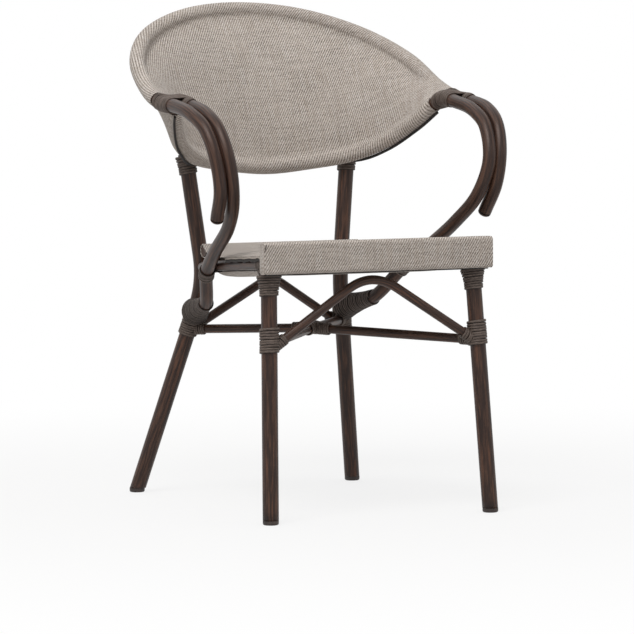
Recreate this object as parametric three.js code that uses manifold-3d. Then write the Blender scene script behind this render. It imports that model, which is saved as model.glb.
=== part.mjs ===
// Stacking bistro armchair: bent tube frame with a bamboo look, joints bound with rattan strip,
// mesh fabric sleeves for the back and the seat.
// Units are millimetres. x runs across the chair, y from the front feet to the back, z up.

import * as THREE from 'three';
import { mergeVertices } from 'three/addons/utils/BufferGeometryUtils.js';
import Module from 'manifold-3d';

const wasm = await Module();
wasm.setup();

// Driving sizes

const fit = { gap: 0.3, overrun: 6, weld: 0.0005 };

const fabric = { thickness: 1.2 };

const feet = { frontSpread: 14.8, rearSpread: 77.1, glideHeight: 7, glideRim: 1.5 };

// The front legs hold the apron. Drops are measured down from the apron's top.
const frontLeg = {
  radius: 13,
  topHalfWidth: 181.2,
  topSetback: 35.6,
  topDrop: 45,
  bindingDrop: 87,
  gussetDrop: 67,
  gussetShare: 0.85,
};

const apron = {
  top: 449,
  height: 51,
  front: 3.6,
  depth: 18,
  overhang: 21.8,
  cornerRadius: 5.5,
};

const rearRail = { radius: 10, setback: 400, drop: 34, overhang: 11.6 };

// The knee and the feet lie behind the rear rail.
const post = {
  radius: 13,
  kneeInset: 55.8,
  kneeBehind: 23,
  kneeDrop: 53,
  kneeBend: 44,
  footBehind: 139,
  seatSpread: 10.6,
  topRise: 7,
};

const sideRail = {
  radius: 9,
  frontSpread: 0.8,
  frontDrop: 35,
  rearSpread: 3.6,
  rearBehind: 21,
  rearDrop: 29,
};

const seat = {
  sag: 12,
  lowerInset: 21,
  lowerClearance: 3,
  frontSettleShare: 40,
  rearSettleShare: 4,
  lowerSag: 19,
  tapeHeight: 8,
  tapeThickness: 1.6,
  tapeAhead: 86,
  tuckDepth: 30,
  tuckOverhang: 3,
  edgeLift: 3,
};

// Rises are measured up from the apron's top.
const back = {
  railRadius: 11,
  spread: 82.8,
  topRise: 366,
  topBehind: 167,
  bottomRise: 102,
  bottomBehind: 42,
  tipRise: 217,
  tipAhead: 138,
  tipInset: 9.5,
  tipSpacing: 25,
  sleeveEndBehind: 22,
  sleeveRows: 21,
  waistShare: 0.055,
  stripWidth: 3.2,
  stripDepth: 4,
};

const arm = {
  radius: 11,
  depth: 190,
  lowRise: 35,
  outerLowRise: 36,
  capDome: 6,
  capRim: 1.6,
};

const armTie = { ahead: 114, outward: 17.6, downward: 11.4, width: 24, wrap: 2.6 };

const armEnd = {
  bendOffset: 17.5,
  bendAhead: 50,
  bendRise: 22,
  jointRise: 32,
  bindingWrap: 5,
  bindingFlare: 6,
};

const brace = {
  radius: 7.5,
  frontApexDrop: 52,
  frontRise: 121,
  frontBend: 52,
  rearApexDrop: 82,
  rearRise: 90,
  rearBend: 26,
};

// The stretchers meet the legs a little above the feet of the braces.
const stretcher = {
  radius: 7.5,
  longFrontRise: 4,
  longRearRise: 4,
  halfFrontRise: 9,
  halfRearRise: 10,
  crossingRise: 14,
  crossingBend: 40,
};

const binding = {
  stripPitch: 14,
  ridge: 0.8,
  wrap: 2.4,
  frontJointBelow: 4.5,
  frontJointAbove: 35,
  rearJointBelow: 5,
  rearJointAbove: 41,
  footLength: 34,
  stretcherLength: 32,
  crossingLength: 34,
  postTopLength: 36,
  postTopFlare: 3.4,
  legTopFlare: 3.2,
  railLength: 48,
};

const winding = {
  turns: 8,
  tailTurns: 2,
  startBehind: 14.5,
  endAhead: 57,
  stripThickness: 1.5,
  clearance: 1.6,
  turnGap: 1.9,
};

// Heights that follow from the seat's height

const rearRailHeight = apron.top - rearRail.drop;
const frontFootHeight = apron.top - brace.frontApexDrop - brace.frontRise;
const rearFootHeight = apron.top - brace.rearApexDrop - brace.rearRise;
const jointHeight = rearFootHeight + armEnd.jointRise;

const heights = {
  legTop: apron.top - frontLeg.topDrop,
  legBinding: apron.top - frontLeg.bindingDrop,
  gusset: apron.top - frontLeg.gussetDrop,
  rearRail: rearRailHeight,
  sideRailFront: apron.top - sideRail.frontDrop,
  sideRailRear: rearRailHeight - sideRail.rearDrop,
  knee: rearRailHeight - post.kneeDrop,
  backTop: apron.top + back.topRise,
  backBottom: apron.top + back.bottomRise,
  tip: apron.top + back.tipRise,
  frontApex: apron.top - brace.frontApexDrop,
  rearApex: apron.top - brace.rearApexDrop,
  frontFoot: frontFootHeight,
  rearFoot: rearFootHeight,
  longFront: frontFootHeight + stretcher.longFrontRise,
  longRear: rearFootHeight + stretcher.longRearRise,
  halfFront: frontFootHeight + stretcher.halfFrontRise,
  halfRear: rearFootHeight + stretcher.halfRearRise,
  crossing: frontFootHeight + stretcher.crossingRise,
  frontJointBottom: frontFootHeight - binding.frontJointBelow,
  frontJointTop: frontFootHeight + binding.frontJointAbove,
  rearJointBottom: rearFootHeight - binding.rearJointBelow,
  rearJointTop: rearFootHeight + binding.rearJointAbove,
  armEnd: jointHeight,
  armBend: jointHeight + armEnd.bendRise,
  armDrop: back.tipRise - arm.lowRise,
  outerArmDrop: back.tipRise - arm.outerLowRise,
};

// Setbacks from the front feet that follow from the seat's depth

const tipSetback = rearRail.setback - back.tipAhead;

const setbacks = {
  rearFoot: rearRail.setback + post.footBehind,
  knee: rearRail.setback + post.kneeBehind,
  sideRailRear: rearRail.setback + sideRail.rearBehind,
  backTop: rearRail.setback + back.topBehind,
  backBottom: rearRail.setback + back.bottomBehind,
  tip: tipSetback,
  sleeveEnd: tipSetback + back.sleeveEndBehind,
  windingStart: tipSetback + winding.startBehind,
  windingEnd: tipSetback - winding.endAhead,
  armTie: rearRail.setback - armTie.ahead,
  tapeEnd: rearRail.setback - armTie.ahead - seat.tapeAhead,
  armBend: rearRail.setback - armEnd.bendAhead,
};

// Half widths that follow from the front legs' own

const kneeHalfWidth = frontLeg.topHalfWidth - post.kneeInset;
const backHalfWidth = frontLeg.topHalfWidth + back.spread;

const halfWidths = {
  knee: kneeHalfWidth,
  back: backHalfWidth,
  apron: frontLeg.topHalfWidth + apron.overhang,
  frontFoot: frontLeg.topHalfWidth + feet.frontSpread,
  rearFoot: kneeHalfWidth + feet.rearSpread,
  postTop: kneeHalfWidth + post.seatSpread,
  rearRail: kneeHalfWidth + rearRail.overhang,
  sideRailFront: frontLeg.topHalfWidth + sideRail.frontSpread,
  sideRailRear: kneeHalfWidth + sideRail.rearSpread,
  seatLower: frontLeg.topHalfWidth + sideRail.frontSpread - seat.lowerInset,
  tip: backHalfWidth - back.tipInset,
};

const middleShare = 0.5;

const facets = {
  tube: 10,
  hidden: 8,
  small: 8,
  leg: 12,
  ridge: 8,
  sleeveArc: 6,
  sleeveSpan: 3,
  innerArmSteps: 18,
  outerArmSteps: 12,
};

// Colours read from the photo

const finish = {
  tube: { color: 0x3d2b24, roughness: 0.38, metalness: 0.15 },
  strip: { color: 0x2b2522, roughness: 0.6, metalness: 0.0 },
  fabric: { color: 0xaaa096, roughness: 0.9, metalness: 0.0 },
  edge: { color: 0x2a211d, roughness: 0.7, metalness: 0.0 },
  glide: { color: 0x141414, roughness: 0.5, metalness: 0.0 },
};

const chair = new THREE.Group();

// Helpers

function at(x, y, z) {
  return new THREE.Vector3(x, y, z);
}

function addPiece(name, geometry, look) {
  geometry.computeVertexNormals();
  const mesh = new THREE.Mesh(geometry, new THREE.MeshStandardMaterial(look));
  mesh.name = name;
  chair.add(mesh);
  return mesh;
}

function solidOf(geometry) {
  const bare = geometry.clone();
  bare.deleteAttribute('normal');
  bare.deleteAttribute('uv');
  const welded = mergeVertices(bare, fit.weld);
  const index = welded.index.array;
  const kept = [];
  for (let i = 0; i < index.length; i += 3) {
    const [a, b, c] = [index[i], index[i + 1], index[i + 2]];
    if (a !== b && b !== c && c !== a) kept.push(a, b, c);
  }
  const solid = new wasm.Manifold(new wasm.Mesh({
    numProp: 3,
    vertProperties: new Float32Array(welded.attributes.position.array),
    triVerts: new Uint32Array(kept),
  }));
  return solid;
}

function geometryOf(solid) {
  const mesh = solid.getMesh();
  const geometry = new THREE.BufferGeometry();
  geometry.setAttribute('position', new THREE.BufferAttribute(new Float32Array(mesh.vertProperties), 3));
  geometry.setIndex(new THREE.BufferAttribute(new Uint32Array(mesh.triVerts), 1));
  return geometry.toNonIndexed();
}

function join(solids) {
  return solids.reduce((whole, next) => whole.add(next));
}

function cut(solid, cutters) {
  return cutters.reduce((whole, next) => whole.subtract(next), solid);
}

function circle(radius, sides) {
  const shape = new THREE.Shape();
  for (let i = 0; i < sides; i += 1) {
    const angle = (2 * Math.PI * i) / sides;
    const x = radius * Math.cos(angle);
    const y = radius * Math.sin(angle);
    if (i === 0) shape.moveTo(x, y);
    else shape.lineTo(x, y);
  }
  shape.closePath();
  return shape;
}

function rectangle(width, height) {
  const shape = new THREE.Shape();
  shape.moveTo(-width / 2, -height / 2);
  shape.lineTo(width / 2, -height / 2);
  shape.lineTo(width / 2, height / 2);
  shape.lineTo(-width / 2, height / 2);
  shape.closePath();
  return shape;
}

function sweep(shape, path, steps) {
  return new THREE.ExtrudeGeometry(shape, { steps, bevelEnabled: false, extrudePath: path });
}

function tubeAlong(path, radius, sides, steps) {
  return sweep(circle(radius, sides), path, steps);
}

function rodBetween(start, end, radius, sides) {
  return tubeAlong(new THREE.LineCurve3(start, end), radius, sides, 1);
}

// A box from its low corner to its high corner.
function blockBetween(low, high) {
  const size = high.clone().sub(low);
  const box = new THREE.BoxGeometry(size.x, size.y, size.z);
  const middle = low.clone().add(high).multiplyScalar(0.5);
  box.translate(middle.x, middle.y, middle.z);
  return box;
}

// Turns a lathe, made about the y axis, so that it starts at a point and points along a direction.
function aim(geometry, start, direction) {
  const turn = new THREE.Quaternion().setFromUnitVectors(at(0, 1, 0), direction.clone().normalize());
  geometry.applyQuaternion(turn);
  geometry.translate(start.x, start.y, start.z);
  return geometry;
}

// A sleeve of strip wound round a straight rod: a lathe with one ridge for each turn.
function woundSleeve(start, end, radius, flare, sides) {
  const axis = end.clone().sub(start);
  const length = axis.length();
  const turns = Math.max(2, Math.round(length / binding.stripPitch));
  const profile = [new THREE.Vector2(0, 0)];
  for (let i = 0; i <= turns; i += 1) {
    const share = i / turns;
    const wide = radius + flare * share * share;
    profile.push(new THREE.Vector2(wide - binding.ridge, length * share));
    if (i < turns) profile.push(new THREE.Vector2(wide, length * (share + 0.5 / turns)));
  }
  profile.push(new THREE.Vector2(0, length));
  return solidOf(aim(new THREE.LatheGeometry(profile, sides), start, axis));
}

// The place on a curve that lies at a given value of one axis.
function placeOn(curve, axisName, value) {
  let low = 0;
  let high = 1;
  const rises = curve.getPoint(1)[axisName] > curve.getPoint(0)[axisName];
  for (let i = 0; i < 40; i += 1) {
    const middle = (low + high) / 2;
    const below = curve.getPoint(middle)[axisName] < value;
    if (below === rises) low = middle;
    else high = middle;
  }
  return curve.getPoint((low + high) / 2);
}

// A path of straight runs with rounded bends. Each bend starts its own length before the corner.
function bentPath(corners, bend) {
  const path = new THREE.CurvePath();
  let from = corners[0];
  for (let i = 1; i < corners.length - 1; i += 1) {
    const corner = corners[i];
    const before = corner.clone().add(corners[i - 1].clone().sub(corner).setLength(bend));
    const after = corner.clone().add(corners[i + 1].clone().sub(corner).setLength(bend));
    path.add(new THREE.LineCurve3(from, before));
    path.add(new THREE.QuadraticBezierCurve3(before, corner, after));
    from = after;
  }
  path.add(new THREE.LineCurve3(from, corners[corners.length - 1]));
  return path;
}

const sides = [
  { name: 'left', sign: -1 },
  { name: 'right', sign: 1 },
];

// Centre lines

// Half of a back rail as shares of the back's half width, of its depth and of its height from the tip.
const topRailShares = [
  [0, 1, 1],
  [0.4, 0.93, 0.93],
  [0.74, 0.757, 0.72],
  [0.94, 0.495, 0.43],
  [1.0, 0.21, 0.12],
];
const bottomRailShares = [
  [0, 1, 1],
  [0.29, 0.961, 0.939],
  [0.54, 0.839, 0.835],
  [0.71, 0.611, 0.635],
  [0.83, 0.339, 0.34],
];

function railHalf(shares, middleSetback, middleHeight, tipHalfWidth) {
  const half = shares.map(([across, inward, upward]) => at(
    across * halfWidths.back,
    setbacks.tip + inward * (middleSetback - setbacks.tip),
    heights.tip + upward * (middleHeight - heights.tip),
  ));
  half.push(at(tipHalfWidth, setbacks.tip, heights.tip));
  return half;
}

const apronBack = apron.front + apron.depth;

// The seat's side rail as shares of the run from its front end to its rear end.
const sideRailShares = [
  [0, 0, 0],
  [0.07, 0.23, 0.2],
  [0.19, 0.46, 0.41],
  [0.4, 0.69, 0.64],
  [0.68, 0.87, 0.85],
  [1, 1, 1],
];

function sideRailPath(sign) {
  const start = apronBack + fit.gap;
  return new THREE.CatmullRomCurve3(sideRailShares.map(([inward, along, down]) => at(
    sign * (halfWidths.sideRailFront + inward * (halfWidths.sideRailRear - halfWidths.sideRailFront)),
    start + along * (setbacks.sideRailRear - start),
    heights.sideRailFront + down * (heights.sideRailRear - heights.sideRailFront),
  )));
}

const tieRailPoint = placeOn(sideRailPath(1), 'y', setbacks.armTie);
const tieArmPoint = at(
  tieRailPoint.x + armTie.outward,
  tieRailPoint.y,
  tieRailPoint.z - armTie.downward,
);

// The inner arm's run as shares of the width from its tie to its tip, of its reach and of its drop.
// The outer arm's run has shares of its own half width at the tip.
const innerArmShares = [
  [0.953, 0.29, 0.025],
  [0.953, 0.6, 0.085],
  [0.93, 0.86, 0.23],
  [0.824, 1.0, 0.53],
  [0.613, 0.91, 0.84],
  [0.401, 0.64, 1.09],
  [0.241, 0.25, 1.32],
];
const outerArmShares = [
  [1.0, 0.29, 0.022],
  [1.0, 0.6, 0.08],
  [0.985, 0.85, 0.22],
  [0.962, 0.975, 0.47],
  [0.935, 0.975, 0.75],
  [0.9, 0.83, 1.0],
];

function armRun(shares, low, high, drop) {
  return shares.map(([across, forward, down]) => at(
    low + across * (high - low),
    setbacks.tip - forward * arm.depth,
    heights.tip - down * drop,
  ));
}

// A back rail and the two arms that carry on from it are bent from one line.
// The line of the rail reaches a little way into both arms.
function railLine(half, armStart) {
  const right = [...half, ...armStart];
  const left = right.slice(1).reverse().map((p) => at(-p.x, p.y, p.z));
  return new THREE.CatmullRomCurve3([...left, ...right]);
}

const tipOuter = halfWidths.tip + back.tipSpacing / 2;
const tipInner = halfWidths.tip - back.tipSpacing / 2;
const topHalf = railHalf(topRailShares, setbacks.backTop, heights.backTop, tipOuter);
const bottomHalf = railHalf(bottomRailShares, setbacks.backBottom, heights.backBottom, tipInner);
const outerRun = armRun(outerArmShares, 0, tipOuter, heights.outerArmDrop);
const innerRun = armRun(innerArmShares, tieArmPoint.x, tipInner, heights.armDrop);
const topRailPath = railLine(topHalf, outerRun.slice(0, 2));
const bottomRailPath = railLine(bottomHalf, innerRun.slice(0, 2));

// The sleeve's ring is a polygon, so its inner radius is measured to its corners.
const cornerShare = 1 / Math.cos(Math.PI / (2 * facets.sleeveArc));
const sleeveInner = (back.railRadius + fit.gap) * cornerShare;
const sleeveRadius = sleeveInner + fabric.thickness;

// A curve that is followed from one listed share of it to the next.
class Stations extends THREE.Curve {
  constructor(base, shares) {
    super();
    this.base = base;
    this.shares = shares;
  }

  shareAt(along) {
    const count = this.shares.length - 1;
    const first = Math.min(Math.floor(along * count), count - 1);
    const from = this.shares[first];
    return from + (along * count - first) * (this.shares[first + 1] - from);
  }

  getPoint(along, target = new THREE.Vector3()) {
    return target.copy(this.base.getPointAt(this.shareAt(along)));
  }

  getPointAt(along, target) {
    return this.getPoint(along, target);
  }

  getTangentAt(along, target = new THREE.Vector3()) {
    return target.copy(this.base.getTangentAt(this.shareAt(along)));
  }
}

function railShareAt(curve, setback) {
  let low = middleShare;
  let high = 1;
  for (let i = 0; i < 40; i += 1) {
    const middle = (low + high) / 2;
    if (curve.getPointAt(middle).y > setback) low = middle;
    else high = middle;
  }
  return (low + high) / 2;
}

// Rail and sleeve share the same stations. The rail has one more at each end, at the tip.
function railStations(curve) {
  const reach = railShareAt(curve, setbacks.sleeveEnd) - middleShare;
  const tip = railShareAt(curve, setbacks.tip + fit.gap) - middleShare;
  const shares = [];
  for (let r = 0; r < back.sleeveRows; r += 1) {
    shares.push(middleShare + reach * ((2 * r) / (back.sleeveRows - 1) - 1));
  }
  return new Stations(curve, [middleShare - tip, ...shares, middleShare + tip]);
}

const topRail = railStations(topRailPath);
const bottomRail = railStations(bottomRailPath);
const railSteps = back.sleeveRows + 1;

function leastDistance(first, second, count) {
  let least = Infinity;
  for (let i = 0; i <= count; i += 1) {
    const p = first.getPointAt(i / count);
    for (let j = 0; j <= count; j += 1) least = Math.min(least, p.distanceTo(second.getPointAt(j / count)));
  }
  return least;
}

// The rear post's top stands behind the back's bottom rail and is seated against its sleeve.
function seatPostTop() {
  const right = new Stations(bottomRailPath, [middleShare, railShareAt(bottomRailPath, setbacks.sleeveEnd)]);
  const seat = placeOn(right, 'x', halfWidths.postTop);
  const ahead = placeOn(right, 'x', halfWidths.postTop + fit.overrun);
  const away = at(seat.y - ahead.y, ahead.x - seat.x, 0).normalize();
  const knee = at(halfWidths.knee, setbacks.knee, heights.knee);
  const needed = sleeveRadius + post.radius + fit.gap * 6;
  let distance = needed;
  let top = at(0, 0, 0);
  for (let i = 0; i < 6; i += 1) {
    top = seat.clone().addScaledVector(away, distance);
    top.z += post.topRise;
    distance += needed - leastDistance(new THREE.LineCurve3(knee.clone().lerp(top, 0.5), top), right, 60);
  }
  return top;
}

const postTop = seatPostTop();

function mirror(point, sign) {
  return at(point.x * sign, point.y, point.z);
}

function postPath(sign) {
  return bentPath([
    at(sign * halfWidths.rearFoot, setbacks.rearFoot, 0),
    at(sign * halfWidths.knee, setbacks.knee, heights.knee),
    mirror(postTop, sign),
  ], post.kneeBend);
}

function postPoint(sign, height) {
  return placeOn(postPath(sign), 'z', height);
}

const legSlope = at(
  frontLeg.topHalfWidth - halfWidths.frontFoot,
  frontLeg.topSetback,
  heights.legTop,
);

function legPoint(sign, height) {
  const share = height / heights.legTop;
  return at(sign * (halfWidths.frontFoot + legSlope.x * share), legSlope.y * share, height);
}

const armEndPoint = postPoint(1, heights.armEnd);
const armBendPoint = at(armEndPoint.x + armEnd.bendOffset, setbacks.armBend, heights.armBend);

function innerArmPath(sign) {
  const points = [...bottomHalf.slice(-3), ...innerRun, tieArmPoint, armBendPoint, armEndPoint];
  return new THREE.CatmullRomCurve3(points.map((p) => mirror(p, sign)));
}

function outerArmPath(sign) {
  const points = [...topHalf.slice(-3), ...outerRun];
  return new THREE.CatmullRomCurve3(points.map((p) => mirror(p, sign)));
}

// The part of an arm's line that is in front of the tip.
function armStretch(path) {
  let from = 0;
  while (path.getPointAt(from).y > setbacks.tip) from += 0.002;
  return new Stations(path, [from, 1]);
}

function armTube(path, radius, steps) {
  return solidOf(tubeAlong(armStretch(path), radius, facets.tube, steps));
}

// A brace leans in the plane of the two legs that it joins.
function bracePath(footLeft, apex, bend) {
  const footRight = at(-footLeft.x, footLeft.y, footLeft.z);
  return bentPath([footLeft, apex, footRight], bend);
}

// Frame

function buildBackRails() {
  addPiece('back_top_rail', tubeAlong(topRail, back.railRadius, facets.hidden, railSteps), finish.tube);
  addPiece('back_bottom_rail', tubeAlong(bottomRail, back.railRadius, facets.hidden, railSteps), finish.tube);
}

function buildArms() {
  sides.forEach(({ name, sign }) => {
    const inner = armTube(innerArmPath(sign), arm.radius, facets.innerArmSteps);
    const innerCut = cut(inner, [postCutter(sign), sideRailCutter(sign)]);
    addPiece(`inner_arm_tube_${name}`, geometryOf(innerCut), finish.tube);
    const path = outerArmPath(sign);
    const outer = armTube(path, arm.radius, facets.outerArmSteps);
    addPiece(`outer_arm_tube_${name}`, geometryOf(outer), finish.tube);
    const direction = path.getTangent(1);
    const start = path.getPoint(1).addScaledVector(direction, fit.gap);
    addPiece(`outer_arm_cap_${name}`, aim(domedCap(), start, direction), finish.tube);
  });
}

function domedCap() {
  const profile = [new THREE.Vector2(0, 0), new THREE.Vector2(arm.radius, 0)];
  const steps = 3;
  for (let i = 0; i <= steps; i += 1) {
    const angle = (Math.PI / 2) * (i / steps);
    profile.push(new THREE.Vector2(
      i === steps ? 0 : arm.radius * Math.cos(angle),
      arm.capRim + arm.capDome * Math.sin(angle),
    ));
  }
  return geometryOf(solidOf(new THREE.LatheGeometry(profile, facets.tube)));
}

function floorBlock(height) {
  const reach = setbacks.rearFoot * 2;
  return solidOf(blockBetween(at(-reach, -reach, -reach), at(reach, reach, height)));
}

const glideTop = feet.glideHeight;

// Leg tubes are swept from below the floor and cut level above the glide.
function buildFrontLegs() {
  sides.forEach(({ name, sign }) => {
    const low = legPoint(sign, -fit.overrun);
    const high = legPoint(sign, heights.legTop);
    const leg = solidOf(rodBetween(low, high, frontLeg.radius, facets.leg));
    const solid = cut(leg, [floorBlock(glideTop + fit.gap), apronCutter(), sideRailCutter(sign)]);
    addPiece(`front_leg_${name}`, geometryOf(solid), finish.tube);
  });
}

function apronCutter() {
  return solidOf(blockBetween(
    at(-halfWidths.apron - fit.gap, apron.front - fit.gap, apron.top - apron.height - fit.gap),
    at(halfWidths.apron + fit.gap, apronBack + fit.gap, apron.top + fit.gap),
  ));
}

function sideRailCutter(sign) {
  return solidOf(tubeAlong(sideRailPath(sign), sideRail.radius + fit.gap, facets.ridge, 10));
}

function buildRearPosts() {
  const backCutter = sleeveBody(sleeveRadius + fit.gap);
  sides.forEach(({ name, sign }) => {
    const tube = solidOf(tubeAlong(postPath(sign), post.radius, facets.leg, 12));
    const solid = cut(tube, [floorBlock(glideTop + fit.gap), backCutter]);
    addPiece(`rear_post_${name}`, geometryOf(solid), finish.tube);
  });
}

function postCutter(sign) {
  return solidOf(tubeAlong(postPath(sign), post.radius + fit.gap, facets.leg, 12));
}

function buildSideRails() {
  sides.forEach(({ name, sign }) => {
    const tube = solidOf(tubeAlong(sideRailPath(sign), sideRail.radius, facets.ridge, 10));
    addPiece(`side_rail_${name}`, geometryOf(cut(tube, [postCutter(sign)])), finish.tube);
  });
}

function roundedSection(low, high, radius, cornerSteps) {
  const shape = new THREE.Shape();
  const corners = [
    [high.x - radius, low.y + radius, -Math.PI / 2],
    [high.x - radius, high.y - radius, 0],
    [low.x + radius, high.y - radius, Math.PI / 2],
    [low.x + radius, low.y + radius, Math.PI],
  ];
  corners.forEach(([x, y, start], i) => {
    for (let k = 0; k <= cornerSteps; k += 1) {
      const angle = start + (Math.PI / 2) * (k / cornerSteps);
      const px = x + radius * Math.cos(angle);
      const py = y + radius * Math.sin(angle);
      if (i === 0 && k === 0) shape.moveTo(px, py);
      else shape.lineTo(px, py);
    }
  });
  shape.closePath();
  return shape;
}

// The front rail fills the apron's sleeve.
function buildFrontRail() {
  const skin = fabric.thickness + fit.gap * 2;
  const low = new THREE.Vector2(apron.front + skin, apron.top - apron.height + skin);
  const high = new THREE.Vector2(apronBack - skin, apron.top - skin);
  const section = roundedSection(low, high, apron.cornerRadius, 3);
  const halfLength = halfWidths.apron - skin;
  const rail = new THREE.ExtrudeGeometry(section, { depth: halfLength * 2, bevelEnabled: false });
  // The section's x is the chair's y and its y is the chair's z.
  const turn = new THREE.Matrix4().makeBasis(at(0, 1, 0), at(0, 0, 1), at(1, 0, 0));
  rail.applyMatrix4(turn);
  rail.translate(-halfLength, 0, 0);
  addPiece('front_rail', rail, finish.tube);
}

function buildRearRail() {
  const half = halfWidths.rearRail - fabric.thickness;
  const start = at(-half, rearRail.setback, heights.rearRail);
  const end = at(half, rearRail.setback, heights.rearRail);
  addPiece('rear_rail', rodBetween(start, end, rearRail.radius, facets.leg), finish.tube);
}

function legCutter(sign) {
  const low = legPoint(sign, 0);
  const high = legPoint(sign, heights.legTop + fit.overrun);
  return solidOf(rodBetween(low, high, frontLeg.radius + fit.gap, facets.leg));
}

const frontBraceFoot = legPoint(-1, heights.frontFoot);
const rearBraceFoot = postPoint(-1, heights.rearFoot);
const frontBraceApex = at(0, legPoint(1, heights.frontApex).y, heights.frontApex);
const rearBraceApex = at(0, postPoint(1, heights.rearApex).y, heights.rearApex);
const frontBracePath = bracePath(frontBraceFoot, frontBraceApex, brace.frontBend);
const rearBracePath = bracePath(rearBraceFoot, rearBraceApex, brace.rearBend);

// The long stretcher runs between opposite legs and is bent up a little at its middle.
function stretcherEnds(frontSign, frontHeight, rearHeight) {
  const front = legPoint(frontSign, frontHeight);
  const rear = postPoint(-frontSign, rearHeight);
  const share = Math.abs(front.x) / (Math.abs(front.x) + Math.abs(rear.x));
  const crossing = front.clone().lerp(rear, share);
  crossing.z = heights.crossing;
  return { front, rear, crossing };
}

const longEnds = stretcherEnds(1, heights.longFront, heights.longRear);
const halfEnds = stretcherEnds(-1, heights.halfFront, heights.halfRear);
const longStretcher = bentPath([longEnds.front, longEnds.crossing, longEnds.rear], stretcher.crossingBend);
const halfFront = new THREE.LineCurve3(halfEnds.front, halfEnds.crossing);
const halfRear = new THREE.LineCurve3(halfEnds.crossing, halfEnds.rear);

function longStretcherCutter() {
  return solidOf(tubeAlong(longStretcher, stretcher.radius + fit.gap, facets.small, 12));
}

function buildBracesAndStretchers() {
  const cutters = sides.flatMap(({ sign }) => [legCutter(sign), postCutter(sign)]);
  const braces = [
    solidOf(tubeAlong(frontBracePath, brace.radius + fit.gap, facets.small, 14)),
    solidOf(tubeAlong(rearBracePath, brace.radius + fit.gap, facets.small, 12)),
  ];
  const crossing = longStretcherCutter();
  const pieces = [
    ['front_brace', frontBracePath, brace.radius, 14, cutters],
    ['rear_brace', rearBracePath, brace.radius, 12, cutters],
    ['stretcher_long', longStretcher, stretcher.radius, 12, [...cutters, ...braces]],
    ['stretcher_half_front', halfFront, stretcher.radius, 1, [...cutters, ...braces, crossing]],
    ['stretcher_half_rear', halfRear, stretcher.radius, 1, [...cutters, ...braces, crossing]],
  ];
  pieces.forEach(([name, path, radius, steps, cutterList]) => {
    const tube = solidOf(tubeAlong(path, radius, facets.small, steps));
    addPiece(name, geometryOf(cut(tube, cutterList)), finish.tube);
  });
}

// Feet

function glideAt(foot, upper, radius) {
  const axis = upper.clone().sub(foot);
  const start = foot.clone().addScaledVector(axis, -fit.overrun / axis.length());
  const end = foot.clone().addScaledVector(axis, (glideTop + fit.overrun) / axis.length());
  const rod = solidOf(rodBetween(start, end, radius, facets.leg));
  const slab = solidOf(blockBetween(
    at(foot.x - radius * 2, foot.y - radius * 2, 0),
    at(foot.x + radius * 2, foot.y + radius * 2, glideTop),
  ));
  return geometryOf(rod.intersect(slab));
}

function buildGlides() {
  sides.forEach(({ name, sign }) => {
    const front = legPoint(sign, 0);
    const frontGlide = glideAt(front, legPoint(sign, heights.legTop), frontLeg.radius - feet.glideRim);
    addPiece(`foot_glide_front_${name}`, frontGlide, finish.glide);
    const rear = at(sign * halfWidths.rearFoot, setbacks.rearFoot, 0);
    const knee = at(sign * halfWidths.knee, setbacks.knee, heights.knee);
    addPiece(`foot_glide_rear_${name}`, glideAt(rear, knee, post.radius - feet.glideRim), finish.glide);
  });
}

// Fabric

// Closes a grid of rings into one skin: an outer and an inner layer, joined along both end rings.
function skinFromRings(outerRings, innerRings) {
  const rows = outerRings.length;
  const columns = outerRings[0].length;
  const points = [...outerRings.flat(), ...innerRings.flat()];
  const layer = rows * columns;
  const outer = (r, c) => r * columns + ((c + columns) % columns);
  const inner = (r, c) => layer + outer(r, c);
  const index = [];
  const quad = (a, b, c, d) => index.push(a, b, c, a, c, d);
  for (let c = 0; c < columns; c += 1) {
    for (let r = 0; r < rows - 1; r += 1) {
      quad(outer(r, c), outer(r, c + 1), outer(r + 1, c + 1), outer(r + 1, c));
      quad(inner(r, c), inner(r + 1, c), inner(r + 1, c + 1), inner(r, c + 1));
    }
    quad(outer(0, c), inner(0, c), inner(0, c + 1), outer(0, c + 1));
    quad(outer(rows - 1, c), outer(rows - 1, c + 1), inner(rows - 1, c + 1), inner(rows - 1, c));
  }
  const geometry = new THREE.BufferGeometry();
  const positions = points.flatMap((p) => [p.x, p.y, p.z]);
  geometry.setAttribute('position', new THREE.Float32BufferAttribute(positions, 3));
  geometry.setIndex(index);
  return outwardSkin(geometry);
}

// Turns every face round when the skin encloses a negative volume.
function outwardSkin(geometry) {
  const position = geometry.attributes.position;
  const index = geometry.index.array;
  let volume = 0;
  const [a, b, c] = [at(0, 0, 0), at(0, 0, 0), at(0, 0, 0)];
  for (let i = 0; i < index.length; i += 3) {
    a.fromBufferAttribute(position, index[i]);
    b.fromBufferAttribute(position, index[i + 1]);
    c.fromBufferAttribute(position, index[i + 2]);
    volume += a.dot(b.cross(c));
  }
  if (volume < 0) {
    for (let i = 0; i < index.length; i += 3) [index[i], index[i + 1]] = [index[i + 1], index[i]];
  }
  return geometry.toNonIndexed();
}

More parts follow.
